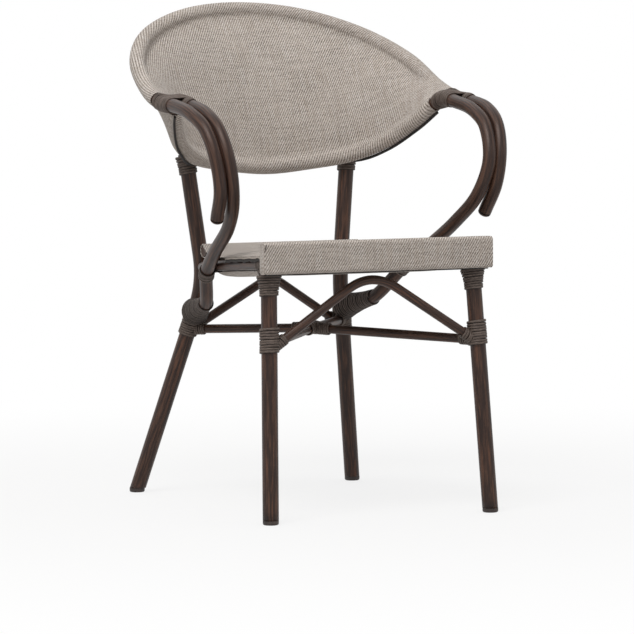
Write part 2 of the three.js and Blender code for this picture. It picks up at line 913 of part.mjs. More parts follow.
// The sleeve goes round both back rails. Each ring is a slot shape round the two rail centres,
// drawn in toward the sitter between the rails by its waist.
function sleeveRing(top, bottom, topAlong, bottomAlong, radius, arcSteps, spanSteps) {
  const across = top.clone().sub(bottom);
  const span = across.length();
  const frames = [topAlong, bottomAlong].map((along) => {
    const up = across.clone().addScaledVector(along, -across.dot(along)).normalize();
    return { up, out: along.clone().cross(up) };
  });
  const out = frames[0].out.clone().add(frames[1].out).normalize();
  const waist = back.waistShare * span;
  const lean = Math.atan((Math.PI * waist) / span);
  const ring = [];
  const arc = (centre, frame, from) => {
    for (let k = 0; k <= arcSteps; k += 1) {
      const angle = from + Math.PI * (k / arcSteps);
      ring.push(centre.clone()
        .addScaledVector(frame.out, radius * Math.cos(angle))
        .addScaledVector(frame.up, radius * Math.sin(angle)));
    }
  };
  const onArc = (centre, frame, angle) => centre.clone()
    .addScaledVector(frame.out, radius * Math.cos(angle))
    .addScaledVector(frame.up, radius * Math.sin(angle));
  const spanBetween = (from, to) => {
    for (let k = 1; k < spanSteps; k += 1) {
      const share = k / spanSteps;
      ring.push(from.clone().lerp(to, share).addScaledVector(out, waist * Math.sin(Math.PI * share)));
    }
  };
  const [high, low] = frames;
  arc(top, high, lean);
  spanBetween(onArc(top, high, Math.PI + lean), onArc(bottom, low, Math.PI - lean));
  arc(bottom, low, Math.PI - lean);
  spanBetween(onArc(bottom, low, -lean), onArc(top, high, lean));
  return ring;
}

function sleeveRings(radius) {
  const rings = [];
  for (let r = 1; r <= back.sleeveRows; r += 1) {
    const share = r / railSteps;
    rings.push(sleeveRing(
      topRail.getPointAt(share),
      bottomRail.getPointAt(share),
      topRail.getTangentAt(share),
      bottomRail.getTangentAt(share),
      radius,
      facets.sleeveArc,
      facets.sleeveSpan,
    ));
  }
  return rings;
}

// The sleeve as one filled body.
function sleeveBody(radius) {
  return solidOf(closedTube(sleeveRings(radius)));
}

function buildBackSleeve() {
  const rails = [topRail, bottomRail].map((rail) => (
    solidOf(tubeAlong(rail, back.railRadius + fit.gap / 2, facets.hidden, railSteps))
  ));
  const sleeve = solidOf(skinFromRings(sleeveRings(sleeveRadius), sleeveRings(sleeveInner)));
  addPiece('back_sleeve', geometryOf(cut(sleeve, rails)), finish.fabric);
}

// A flat strip: one four-cornered ring for each point, with its own width and thickness directions.
function ribbon(stations, width, thickness) {
  return closedTube(stations.map(({ place, across, up }) => [[1, 1], [-1, 1], [-1, -1], [1, -1]].map(
    ([m, n]) => place.clone()
      .addScaledVector(across, (m * width) / 2)
      .addScaledVector(up, (n * thickness) / 2),
  )));
}

// The dark strip under the bottom rail lies outside the sleeve.
function buildBackEdgeStrip() {
  const stations = [];
  for (let r = 1; r <= back.sleeveRows; r += 1) {
    const share = r / railSteps;
    const along = bottomRail.getTangentAt(share);
    const away = at(0, 0, -1).addScaledVector(along, along.z).normalize();
    const distance = sleeveRadius + fit.gap + back.stripWidth / 2;
    stations.push({
      place: bottomRail.getPointAt(share).addScaledVector(away, distance),
      across: away,
      up: along.clone().cross(away).normalize(),
    });
  }
  addPiece('back_edge_strip', ribbon(stations, back.stripWidth, back.stripDepth), finish.edge);
}

const seatSkin = fabric.thickness + fit.gap;
const rollRadius = rearRail.radius + seatSkin;
const seatOverhang = sideRail.radius + binding.wrap + fit.gap * 2 + seat.tapeThickness;

function railTop(setback) {
  const point = placeOn(sideRailPath(1), 'y', setback);
  return at(point.x, point.y, point.z + sideRail.radius);
}

// The seat belt's outline from the apron's underside over the top and back underneath.
// Each entry has its setback, its height at the middle, its height at the edge and its half width.
function seatOutline() {
  const outline = [];
  const radius = apron.cornerRadius;
  const bottom = apron.top - apron.height;
  const add = (y, z, edge, half, onTop = false) => outline.push({ y, z, edge, half, onTop });
  const cornerSteps = 2;
  for (let k = 0; k <= cornerSteps; k += 1) {
    const angle = (Math.PI / 2) * (k / cornerSteps);
    const y = apron.front + radius - radius * Math.sin(angle);
    const z = bottom + radius - radius * Math.cos(angle);
    add(y, z, z, halfWidths.apron);
  }
  for (let k = 0; k <= cornerSteps; k += 1) {
    const angle = (Math.PI / 2) * (k / cornerSteps);
    const y = apron.front + radius - radius * Math.cos(angle);
    const z = apron.top - radius + radius * Math.sin(angle);
    add(y, z, z, halfWidths.apron);
  }
  add(apronBack - radius, apron.top, apron.top, halfWidths.apron);
  const runStart = apronBack + fit.overrun / 2;
  const runEnd = rearRail.setback - rollRadius;
  const rollTop = heights.rearRail + rollRadius;
  const topSteps = 8;
  for (let k = 0; k <= topSteps; k += 1) {
    const share = k / topSteps;
    const y = runStart + share * (runEnd - runStart);
    const line = apron.top + ((y - apronBack) / (rearRail.setback - apronBack)) * (rollTop - apron.top);
    const middle = line - seat.sag * Math.sin(Math.PI * share);
    const rail = railTop(y);
    const settle = Math.min(1, share * seat.frontSettleShare, (1 - share) * seat.rearSettleShare);
    const edge = middle + settle * (rail.z + seatSkin + seat.edgeLift - middle);
    const tuck = Math.min(1, Math.max(0, (y - setbacks.tapeEnd) / seat.tuckDepth));
    const half = rail.x + seatOverhang + tuck * (seat.tuckOverhang - seatOverhang);
    add(y, middle, Math.min(edge, middle), Math.max(half, halfWidths.rearRail), true);
  }
  const rollSteps = 6;
  for (let k = 0; k <= rollSteps; k += 1) {
    const angle = Math.PI / 2 - Math.PI * (k / rollSteps);
    const y = rearRail.setback + rollRadius * Math.cos(angle);
    const z = heights.rearRail + rollRadius * Math.sin(angle);
    add(y, z, z, halfWidths.rearRail);
  }
  const lowSteps = 4;
  const rollBottom = heights.rearRail - rollRadius;
  for (let k = 1; k <= lowSteps; k += 1) {
    const share = k / lowSteps;
    const y = rearRail.setback + share * (apronBack - radius - rearRail.setback);
    const line = rollBottom + share * (bottom - rollBottom);
    const z = line - seat.lowerSag * Math.sin(Math.PI * share);
    const rail = railTop(Math.max(y, apronBack + fit.overrun));
    const inner = rail.x - sideRail.radius - seat.lowerClearance;
    const half = Math.min(inner, halfWidths.seatLower, halfWidths.rearRail + share * halfWidths.apron);
    add(y, z, z, Math.min(half, inner));
  }
  return outline;
}

// Shrinks an outline in its own y and z plane by the fabric's thickness.
function inset(outline, distance) {
  const count = outline.length;
  return outline.map((p, i) => {
    const before = outline[(i - 1 + count) % count];
    const after = outline[(i + 1) % count];
    const normalOf = (key) => {
      const a = new THREE.Vector2(p.y - before.y, p[key] - before[key]).normalize();
      const b = new THREE.Vector2(after.y - p.y, after[key] - p[key]).normalize();
      const along = a.clone().add(b).normalize();
      const spread = Math.max(0.5, along.dot(a));
      return new THREE.Vector2(along.y, -along.x).multiplyScalar(distance / spread);
    };
    const middle = normalOf('z');
    const edge = normalOf('edge');
    return {
      y: p.y + middle.x,
      z: p.z + middle.y,
      edgeY: p.y + edge.x,
      edge: p.edge + edge.y,
      half: p.half,
    };
  });
}

const edgeShares = [-1, -0.97, -0.9, -0.76, 0, 0.76, 0.9, 0.97, 1];
const edgePower = 6;

function seatRings(outline) {
  return edgeShares.map((share) => outline.map((p) => {
    const weight = Math.abs(share) ** edgePower;
    const edgeY = p.edgeY === undefined ? p.y : p.edgeY;
    return at(share * p.half, p.y + weight * (edgeY - p.y), p.z + weight * (p.edge - p.z));
  }));
}

function buildSeatSleeve() {
  const outline = seatOutline();
  const belt = solidOf(skinFromRings(seatRings(outline), seatRings(inset(outline, fabric.thickness))));
  const skin = fabric.thickness;
  const ends = sides.map(({ sign }) => {
    const section = roundedSection(
      new THREE.Vector2(apron.front, apron.top - apron.height),
      new THREE.Vector2(apronBack, apron.top),
      apron.cornerRadius,
      3,
    );
    const plate = new THREE.ExtrudeGeometry(section, { depth: skin, bevelEnabled: false });
    plate.applyMatrix4(new THREE.Matrix4().makeBasis(at(0, 1, 0), at(0, 0, 1), at(1, 0, 0)));
    plate.translate(sign > 0 ? halfWidths.apron - skin : -halfWidths.apron, 0, 0);
    return solidOf(plate);
  });
  addPiece('seat_sleeve', geometryOf(join([belt, ...ends])), finish.fabric);
}

// The dark tape hangs along the edge of the seat, outside the side rail.
function buildSeatTapes() {
  const end = setbacks.tapeEnd + fit.overrun * 2;
  const outline = seatOutline().filter((p, i, all) => p.onTop && all[i - 1].onTop && p.y < end);
  sides.forEach(({ name, sign }) => {
    const stations = outline.map((p) => ({
      place: at(
        sign * (p.half - seat.tapeThickness / 2),
        p.y + fit.gap,
        p.edge - fabric.thickness - fit.gap * 2 - seat.tapeHeight / 2,
      ),
      across: at(0, 0, 1),
      up: at(1, 0, 0),
    }));
    const geometry = ribbon(stations, seat.tapeHeight, seat.tapeThickness);
    addPiece(`seat_edge_tape_${name}`, geometry, finish.edge);
  });
}

function buildApronStrip() {
  const top = apron.top - apron.height - fit.gap;
  const strip = blockBetween(
    at(-halfWidths.apron + apron.cornerRadius, apron.front + fit.overrun, top - back.stripWidth / 2),
    at(halfWidths.apron - apron.cornerRadius, apron.front + fit.overrun + back.stripDepth, top),
  );
  addPiece('apron_edge_strip', strip, finish.edge);
}

// Bindings

// A sleeve that follows a bent tube for a short stretch.
function sleeveOn(curve, centreShare, length, radius) {
  const reach = length / 2 / curve.getLength();
  const shares = [-1, -middleShare, 0, middleShare, 1].map((k) => centreShare + k * reach);
  return solidOf(tubeAlong(new Stations(curve, shares), radius, facets.ridge, shares.length - 1));
}

// A sleeve that starts on a leg's axis and covers the end of a tube that meets it.
function endSleeve(start, toward, length, radius) {
  const end = start.clone().add(toward.clone().sub(start).setLength(length));
  return solidOf(rodBetween(start, end, radius, facets.small));
}

// Where two tubes meet at a joint only their straight ends lie inside the binding.
function straightCutter(from, to, length, radius) {
  const end = from.clone().add(to.clone().sub(from).setLength(length));
  return solidOf(rodBetween(from, end, radius + fit.gap, facets.small));
}

function jointTube(start, toward, bindingLength, radius) {
  return {
    sleeve: endSleeve(start, toward, bindingLength, radius + binding.wrap),
    cutter: straightCutter(start, toward, bindingLength + fit.overrun, radius),
  };
}

function buildFrontJointBindings() {
  sides.forEach(({ name, sign }) => {
    const legSleeve = woundSleeve(
      legPoint(sign, heights.frontJointBottom),
      legPoint(sign, heights.frontJointTop),
      frontLeg.radius + binding.wrap,
      0,
      facets.ridge,
    );
    const braceFoot = mirror(frontBraceFoot, -sign);
    const ends = sign > 0 ? longEnds : halfEnds;
    const tubes = [
      jointTube(braceFoot, frontBraceApex, binding.footLength, brace.radius),
      jointTube(ends.front, ends.crossing, binding.stretcherLength, stretcher.radius),
    ];
    const whole = join([legSleeve, ...tubes.map((tube) => tube.sleeve)]);
    const solid = cut(whole, [legCutter(sign), ...tubes.map((tube) => tube.cutter)]);
    addPiece(`front_joint_binding_${name}`, geometryOf(solid), finish.strip);
  });
}

function buildRearJointBindings() {
  sides.forEach(({ name, sign }) => {
    const postSleeve = woundSleeve(
      postPoint(sign, heights.rearJointBottom),
      postPoint(sign, heights.rearJointTop),
      post.radius + binding.wrap,
      0,
      facets.ridge,
    );
    const braceFoot = mirror(rearBraceFoot, -sign);
    const ends = sign > 0 ? halfEnds : longEnds;
    const armEndHere = mirror(armEndPoint, sign);
    const armBendHere = mirror(armBendPoint, sign);
    const tubes = [
      jointTube(braceFoot, rearBraceApex, binding.footLength, brace.radius),
      jointTube(ends.rear, ends.crossing, binding.stretcherLength, stretcher.radius),
    ];
    const armSleeve = woundSleeve(
      armBendHere,
      armEndHere,
      arm.radius + armEnd.bindingWrap,
      armEnd.bindingFlare,
      facets.ridge,
    );
    const armCutter = armTube(innerArmPath(sign), arm.radius + fit.gap, facets.innerArmSteps);
    const whole = join([postSleeve, armSleeve, ...tubes.map((tube) => tube.sleeve)]);
    const solid = cut(whole, [postCutter(sign), armCutter, ...tubes.map((tube) => tube.cutter)]);
    addPiece(`rear_joint_binding_${name}`, geometryOf(solid), finish.strip);
  });
}

// The crossing is bound along both stretchers.
function buildStretcherBinding() {
  const reach = binding.crossingLength;
  const middle = longEnds.crossing;
  const arms = [longEnds.front, longEnds.rear, halfEnds.front, halfEnds.rear];
  const sleeves = arms.map((end) => woundSleeve(
    middle,
    middle.clone().add(end.clone().sub(middle).setLength(reach)),
    stretcher.radius + binding.wrap,
    0,
    facets.small,
  ));
  const halfCutters = arms.slice(2).map((end) => {
    const start = middle.clone().add(middle.clone().sub(end).setLength(fit.gap));
    return straightCutter(start, end, reach + fit.overrun, stretcher.radius);
  });
  const solid = cut(join(sleeves), [longStretcherCutter(), ...halfCutters]);
  addPiece('stretcher_binding', geometryOf(solid), finish.strip);
}

function closestShare(path, point) {
  let best = 0;
  let least = Infinity;
  const count = 400;
  for (let i = 0; i <= count; i += 1) {
    const distance = path.getPointAt(i / count).distanceTo(point);
    if (distance < least) {
      least = distance;
      best = i / count;
    }
  }
  return best;
}

// The strip climbs the leg and turns back along the seat's side rail.
function buildFrontLegBindings() {
  sides.forEach(({ name, sign }) => {
    const legSleeve = woundSleeve(
      legPoint(sign, heights.legBinding),
      legPoint(sign, heights.legTop),
      frontLeg.radius + binding.wrap,
      binding.legTopFlare,
      facets.ridge,
    );
    const rail = sideRailPath(sign);
    const railStart = rail.getPointAt(0);
    const railAhead = placeOn(rail, 'y', railStart.y + binding.railLength);
    const railSleeve = woundSleeve(
      railStart,
      railAhead,
      sideRail.radius + binding.wrap,
      0,
      facets.ridge,
    );
    const gussetFoot = legPoint(sign, heights.gusset);
    const gussetReach = gussetFoot.distanceTo(railAhead) * frontLeg.gussetShare;
    const gusset = endSleeve(gussetFoot, railAhead, gussetReach, sideRail.radius);
    const reach = halfWidths.apron + fit.overrun;
    const underStrip = solidOf(blockBetween(
      at(-reach, -reach, apron.top - apron.height - fit.gap * 2 - back.stripWidth),
      at(reach, apron.front + fit.overrun + back.stripDepth + fit.gap, apron.top),
    ));
    const solid = cut(
      join([legSleeve, gusset, railSleeve]),
      [legCutter(sign), sideRailCutter(sign), apronCutter(), underStrip],
    );
    addPiece(`front_leg_binding_${name}`, geometryOf(solid), finish.strip);
  });
}

function buildPostTopBindings() {
  const sleeveCutter = sleeveBody(sleeveRadius + fit.gap);
  const stripCutter = solidOf(tubeAlong(
    bottomRail,
    sleeveRadius + fit.gap * 2 + back.stripWidth,
    facets.tube,
    railSteps,
  ));
  sides.forEach(({ name, sign }) => {
    const path = postPath(sign);
    const top = path.getPointAt(1);
    const below = path.getPointAt(0.9);
    const start = top.clone().add(below.clone().sub(top).setLength(binding.postTopLength));
    const collar = woundSleeve(
      start,
      top,
      post.radius + binding.wrap,
      binding.postTopFlare,
      facets.ridge,
    );
    const low = postPoint(sign, start.z - binding.stripPitch);
    const high = top.clone().add(top.clone().sub(below).setLength(fit.overrun));
    const rod = solidOf(rodBetween(low, high, post.radius + fit.gap, facets.leg));
    const solid = cut(collar, [rod, sleeveCutter, stripCutter]);
    addPiece(`post_top_binding_${name}`, geometryOf(solid), finish.strip);
  });
}

function buildSeatArmBindings() {
  sides.forEach(({ name, sign }) => {
    const armPath = innerArmPath(sign);
    const rail = sideRailPath(sign);
    const armShare = closestShare(armPath, mirror(tieArmPoint, sign));
    const railShare = closestShare(rail, mirror(tieRailPoint, sign));
    const sleeves = [
      sleeveOn(armPath, armShare, armTie.width, arm.radius + armTie.wrap),
      sleeveOn(rail, railShare, armTie.width, sideRail.radius + armTie.wrap),
    ];
    const armCutter = armTube(armPath, arm.radius + fit.gap, facets.innerArmSteps);
    const solid = cut(join(sleeves), [armCutter, sideRailCutter(sign)]);
    addPiece(`seat_arm_binding_${name}`, geometryOf(solid), finish.strip);
  });
}

// The tip binding is one strip wound round the pair of tubes where the arms meet the back.
// Its last turns go round one tube only.
function tipPair(sign, setback) {
  const outerShare = railShareAt(topRailPath, setback);
  const innerShare = railShareAt(bottomRailPath, setback);
  return {
    outer: mirror(placeOnTube(topRail, outerArmPath(1), facets.outerArmSteps, setback), sign),
    inner: mirror(placeOnTube(bottomRail, innerArmPath(1), facets.innerArmSteps, setback), sign),
    outerAlong: mirror(topRailPath.getTangentAt(outerShare), sign),
    innerAlong: mirror(bottomRailPath.getTangentAt(innerShare), sign),
  };
}

// The centre of a tube, as it runs straight from one of its rings to the next.
function placeOnTube(rail, armPath, stepsOfArm, setback) {
  const line = setback > setbacks.tip ? rail : armStretch(armPath);
  const steps = setback > setbacks.tip ? railSteps : stepsOfArm;
  const first = setback > setbacks.tip ? railSteps / 2 : 0;
  for (let i = first; i < steps; i += 1) {
    const from = line.getPointAt(i / steps);
    const to = line.getPointAt((i + 1) / steps);
    if (to.y <= setback) return from.lerp(to, (from.y - setback) / (from.y - to.y));
  }
  return line.getPointAt(1);
}

// A place on the slot shape round two centres. Its half spacing shrinks to nothing for one tube.
function slotPlace(middle, major, minor, half, radius, share) {
  const arc = Math.PI * radius;
  const perimeter = 2 * arc + 4 * half;
  let travel = share * perimeter;
  const spot = (m, n, towardMajor, towardMinor) => ({
    place: middle.clone().addScaledVector(major, m).addScaledVector(minor, n),
    normal: major.clone().multiplyScalar(towardMajor).addScaledVector(minor, towardMinor),
  });
  if (travel < half) return spot(travel, radius, 0, 1);
  travel -= half;
  if (travel < arc) {
    const turn = travel / radius;
    return spot(half + radius * Math.sin(turn), radius * Math.cos(turn), Math.sin(turn), Math.cos(turn));
  }
  travel -= arc;
  if (travel < 2 * half) return spot(half - travel, -radius, 0, -1);
  travel -= 2 * half;
  if (travel < arc) {
    const turn = travel / radius;
    return spot(-half - radius * Math.sin(turn), -radius * Math.cos(turn), -Math.sin(turn), -Math.cos(turn));
  }
  travel -= arc;
  return spot(-half + travel, radius, 0, 1);
}

function windingSpot(sign, turn, setback) {
  const pair = tipPair(sign, setback);
  const lift = winding.clearance + winding.stripThickness / 2;
  const pairTurns = winding.turns - winding.tailTurns;
  const across = pair.outer.clone().sub(pair.inner).multiplyScalar(sign);
  if (turn > pairTurns) {
    const far = sign > 0 ? pair.outer : pair.inner;
    const along = sign > 0 ? pair.outerAlong : pair.innerAlong;
    const side = across.clone().addScaledVector(along, -across.dot(along)).normalize();
    const up = along.clone().cross(side).normalize();
    const spot = slotPlace(far, side, up, 0, back.railRadius + fit.gap + lift, (turn - pairTurns) % 1);
    return { ...spot, along };
  }
  const along = pair.outerAlong.clone().add(pair.innerAlong).normalize();
  const slant = Math.min(along.dot(pair.outerAlong), along.dot(pair.innerAlong));
  const side = across.clone().normalize();
  const up = along.clone().cross(side).normalize();
  const middle = pair.outer.clone().add(pair.inner).multiplyScalar(0.5);
  const radius = (back.railRadius + fit.gap) / slant + lift;
  const spot = slotPlace(middle, side, up, across.length() / 2, radius, turn % 1);
  return { ...spot, along };
}

function windingRings(sign) {
  const stepsPerTurn = 24;
  const count = winding.turns * stepsPerTurn;
  const pitch = (setbacks.windingStart - setbacks.windingEnd) / winding.turns;
  const stripWidth = pitch - winding.turnGap;
  const rings = [];
  for (let i = 0; i <= count; i += 1) {
    const turn = i / stepsPerTurn;
    const spot = windingSpot(sign, turn, setbacks.windingStart - pitch * turn);
    const ring = [];
    for (let k = 0; k < 6; k += 1) {
      const angle = (Math.PI / 3) * k;
      const flat = Math.abs(Math.sin(angle)) > 0.1 ? Math.sign(Math.sin(angle)) : 0;
      ring.push(spot.place.clone()
        .addScaledVector(spot.along, (stripWidth / 2) * Math.cos(angle))
        .addScaledVector(spot.normal, (winding.stripThickness / 2) * flat));
    }
    rings.push(ring);
  }
  return rings;
}

function closedTube(rings) {
  const sidesOfRing = rings[0].length;
  const points = rings.flat();
  const index = [];
  for (let r = 0; r < rings.length - 1; r += 1) {
    for (let k = 0; k < sidesOfRing; k += 1) {
      const a = r * sidesOfRing + k;
      const b = r * sidesOfRing + ((k + 1) % sidesOfRing);
      index.push(a, b, b + sidesOfRing, a, b + sidesOfRing, a + sidesOfRing);
    }
  }
  const last = (rings.length - 1) * sidesOfRing;
  for (let k = 1; k < sidesOfRing - 1; k += 1) {
    index.push(0, k + 1, k);
    index.push(last, last + k, last + k + 1);
  }
  const geometry = new THREE.BufferGeometry();
  const positions = points.flatMap((p) => [p.x, p.y, p.z]);
  geometry.setAttribute('position', new THREE.Float32BufferAttribute(positions, 3));
  geometry.setIndex(index);
  return outwardSkin(geometry);
}

// The least distance between points of the strip that lie a turn or more apart.
function leastGap(rings, stepsPerTurn) {
  let least = Infinity;
  const near = stepsPerTurn - 4;
  for (let i = 0; i < rings.length; i += 1) {
    const limit = Math.min(rings.length, i + stepsPerTurn + 5);
    for (let j = i + near; j < limit; j += 1) {
      rings[i].forEach((p) => rings[j].forEach((q) => {
        least = Math.min(least, p.distanceTo(q));
      }));
    }
  }
  return least;
}

function buildArmBindings() {
  sides.forEach(({ name, sign }) => {
    const rings = windingRings(sign);
    console.log(`arm_binding_${name} least gap to itself ${leastGap(rings, 24).toFixed(2)} mm`);
    addPiece(`arm_binding_${name}`, closedTube(rings), finish.strip);
  });
}

buildBackRails();
buildArms();
buildRearPosts();
buildFrontLegs();
buildSideRails();
buildFrontRail();
buildRearRail();
buildBracesAndStretchers();
buildGlides();
buildBackSleeve();
buildBackEdgeStrip();
buildSeatSleeve();
buildSeatTapes();
buildApronStrip();
buildFrontJointBindings();
buildRearJointBindings();
buildStretcherBinding();
buildFrontLegBindings();
buildPostTopBindings();
buildSeatArmBindings();
buildArmBindings();

// The origin lies at the middle of the chair's footprint, on the floor.
const bounds = new THREE.Box3().setFromObject(chair);
const middleDepth = (bounds.min.y + bounds.max.y) / 2;
chair.children.forEach((piece) => piece.position.set(0, -middleDepth, 0));

export default chair;
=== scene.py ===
# Stacking bistro armchair: dark brown bent tubes, joints bound with strip, woven mesh seat and back.
# Lengths in the dictionaries are millimetres unless a note says otherwise.
import math
from bisect import bisect_left

import bpy
from mathutils import Matrix, Vector


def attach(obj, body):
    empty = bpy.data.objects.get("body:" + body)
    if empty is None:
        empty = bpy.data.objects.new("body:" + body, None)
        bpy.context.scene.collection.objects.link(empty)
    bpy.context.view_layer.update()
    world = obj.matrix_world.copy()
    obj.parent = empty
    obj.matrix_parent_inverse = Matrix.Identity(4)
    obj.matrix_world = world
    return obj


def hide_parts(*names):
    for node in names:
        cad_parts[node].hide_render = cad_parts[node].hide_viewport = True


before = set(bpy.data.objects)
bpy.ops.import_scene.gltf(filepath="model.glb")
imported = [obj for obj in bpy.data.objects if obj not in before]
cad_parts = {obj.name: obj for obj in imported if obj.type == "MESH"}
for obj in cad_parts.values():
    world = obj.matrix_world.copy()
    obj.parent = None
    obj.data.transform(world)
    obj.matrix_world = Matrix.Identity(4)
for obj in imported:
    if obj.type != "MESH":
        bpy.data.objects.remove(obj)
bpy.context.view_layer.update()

bpy.ops.object.select_all(action="DESELECT")

mm = 0.001
chairMiddle = 283.72  # the origin lies this far behind the front feet
sides = (("left", -1), ("right", 1))


def spot(x, y, z):
    return Vector((x, y - chairMiddle, z)) * mm


def mirrored(point, sign):
    return Vector((point.x * sign, point.y, point.z))


def between(start, end, share):
    return start + (end - start) * share


def evenShares(count):
    return [k / count for k in range(count + 1)]


def smoothShare(value, low, high):
    share = min(1, max(0, (value - low) / (high - low)))
    return share * share * (3 - 2 * share)


# Camera

cameraView = {
    "place": (-3.16475, -6.86312, 0.85892),  # metres
    "azimuth": -24.63,  # degrees
    "elevation": 3.99,
    "roll": -0.278,
    "lens": 259.2,  # millimetres, on a 36 mm sensor
    "shift": (0.0315, -0.0237),
}


def addCamera():
    azimuth, elevation, roll = (math.radians(cameraView[key]) for key in ("azimuth", "elevation", "roll"))
    aim = Matrix.Rotation(azimuth, 3, "Z") @ Matrix.Rotation(math.pi / 2 - elevation, 3, "X")
    turn = aim @ Matrix.Rotation(roll, 3, "Z")
    bpy.ops.object.camera_add(location=cameraView["place"], rotation=turn.to_euler())
    camera = bpy.context.object
    camera.name = "photoCamera"
    camera.data.lens = cameraView["lens"]
    camera.data.sensor_width = 36
    camera.data.shift_x, camera.data.shift_y = cameraView["shift"]
    camera.data.clip_end = 100
    bpy.context.scene.camera = camera


addCamera()
print("camera ready")


# Shader help: an expression on wires adds its Math nodes

class Wire:
    def __init__(self, shader, socket):
        self.shader = shader
        self.socket = socket

    def math(self, operation, *others):
        values = dict(enumerate((self, *others)))
        return self.shader.add("ShaderNodeMath", {"operation": operation}, values)

    def __add__(self, other):
        return self.math("ADD", other)

    def __sub__(self, other):
        return self.math("SUBTRACT", other)

    def __rsub__(self, other):
        return self.math("MULTIPLY", -1) + other

    def __mul__(self, other):
        return self.math("MULTIPLY", other)

    def __truediv__(self, other):
        return self.math("DIVIDE", other)

    def __lt__(self, other):
        return self.math("LESS_THAN", other)

    __radd__ = __add__
    __rmul__ = __mul__


class Shader:
    def __init__(self, name):
        self.material = bpy.data.materials.new(name)
        self.material.use_nodes = True
        self.tree = self.material.node_tree
        self.surface = self.tree.nodes["Principled BSDF"]

    def add(self, kind, settings=None, values=None, output=0):
        node = self.tree.nodes.new(kind)
        for name, value in (settings or {}).items():
            setattr(node, name, value)
        for socket, value in (values or {}).items():
            self.feed(node.inputs[socket], value)
        return Wire(self, node.outputs[output])

    def feed(self, socket, value):
        if isinstance(value, Wire):
            self.tree.links.new(value.socket, socket)
        elif hasattr(socket.default_value, "__len__") and len(socket.default_value) == 4:
            socket.default_value = (*value, 1)
        else:
            socket.default_value = value

    def mix(self, share, first, second):
        return self.add("ShaderNodeMix", {"data_type": "RGBA"}, {0: share, 6: first, 7: second}, 2)

    def noise(self, place, scale, detail=2.0, roughness=0.5):
        values = {"Vector": place, "Scale": scale, "Detail": detail, "Roughness": roughness}
        return self.add("ShaderNodeTexNoise", None, values)

    def joined(self, x, y, z):
        return self.add("ShaderNodeCombineXYZ", None, {"X": x, "Y": y, "Z": z})

    def parts(self, vector):
        return [self.add("ShaderNodeSeparateXYZ", None, {"Vector": vector}, i) for i in range(3)]

    def place(self, kind):
        return self.add("ShaderNodeTexCoord", None, None, kind)

    def uv(self):
        return self.parts(self.place("UV"))[:2]

    def seenPlain(self):
        # 1 for the rays that see plain white instead of the studio's light
        kinds = ("Camera", "Glossy", "Transmission")
        rays = [self.add("ShaderNodeLightPath", None, None, f"Is {kind} Ray") for kind in kinds]
        return rays[0].math("MAXIMUM", rays[1]).math("MAXIMUM", rays[2])

    def softStep(self, value, low, high):
        settings = {"interpolation_type": "SMOOTHSTEP"}
        return self.add("ShaderNodeMapRange", settings, {"Value": value, "From Min": low, "From Max": high})

    def bump(self, height, strength, distance):
        values = {"Height": height, "Strength": strength, "Distance": distance}
        return self.add("ShaderNodeBump", None, values)

    def finish(self, **values):
        for name, value in values.items():
            self.feed(self.surface.inputs[name.replace("_", " ")], value)
        return self.material


class WorldShader(Shader):
    def __init__(self, world):
        world.use_nodes = True
        self.material = world
        self.tree = world.node_tree
        self.surface = self.tree.nodes["Background"]


def colour(*screen):
    # a screen colour, 0 to 255, as linear light
    shares = [value / 255 for value in screen]
    return tuple(((v + 0.055) / 1.055) ** 2.4 if v > 0.04045 else v / 12.92 for v in shares)


# Materials

tubeLook = {
    "black": colour(44, 30, 25),
    "brown": colour(82, 58, 46),
    "red": colour(100, 64, 47),
    "roughness": 0.3,
    "ior": 1.34,
}


def makeTubeMaterial():
    s = Shader("brownTube")
    along, around = s.uv()
    turn = around * (2 * math.pi)
    side = turn.math("COSINE")
    front = turn.math("SINE")
    drift = s.noise(s.joined(side, front, along * 5), 0.9, 2) * 0.9
    longGrain = s.noise(s.joined(side + drift, front + drift, along * 5), 3.4, 4, 0.58)
    fineGrain = s.noise(s.joined(side + drift, front, along * 7), 11, 3, 0.6)
    patches = s.noise(s.joined(side * 0.5, front * 0.5, along * 6), 1.2, 2)
    base = s.mix(s.softStep(longGrain, 0.4, 0.66), tubeLook["black"], tubeLook["brown"])
    base = s.mix(s.softStep(fineGrain, 0.52, 0.7) * 0.5, base, tubeLook["black"])
    reddish = s.softStep(patches, 0.46, 0.66) * s.softStep(longGrain, 0.5, 0.7)
    base = s.mix(reddish * 0.75, base, tubeLook["red"])
    return s.finish(
        Base_Color=base,
        Roughness=tubeLook["roughness"] + 0.14 * longGrain + 0.08 * fineGrain,
        IOR=tubeLook["ior"],
        Normal=s.bump(longGrain + fineGrain * 0.6, 0.16, 0.0006),
    )


stripLook = {
    # painted shade colour for the grooves between turns and the strand's underside
    "groove": colour(17, 13, 11),
    "dark": colour(62, 51, 45),
    "light": colour(122, 108, 99),
    "roughness": 0.5,
}


def makeStripMaterial():
    # wound strand: its UV runs in metres along it and 0 to 1 round it
    s = Shader("woundStrand")
    along, around = s.uv()
    turn = around * (2 * math.pi)
    # painted shade: dark below and on the side towards the turn before, where the turns press together, so
    # the last turn shows a light edge
    crown = turn.math("SINE") + turn.math("COSINE") * 0.5
    fibres = s.noise(s.joined(along * 70, around * 14, 0.0), 1.4, 4, 0.6)
    patches = s.noise(s.joined(along * 22, around * 0.6, 3.0), 1.1, 2)
    base = s.mix(s.softStep(fibres, 0.34, 0.72), stripLook["dark"], stripLook["light"])
    base = s.mix(s.softStep(patches, 0.4, 0.7) * 0.55, base, stripLook["dark"])
    # paints the groove shade over the strand's own colour
    base = s.mix((1 - s.softStep(crown, 0.15, 0.9)) * 0.84, base, stripLook["groove"])
    return s.finish(
        Base_Color=base,
        Roughness=stripLook["roughness"] + 0.2 * fibres,
        Specular_IOR_Level=0.35,
        Normal=s.bump(fibres, 0.35, 0.0004),
    )


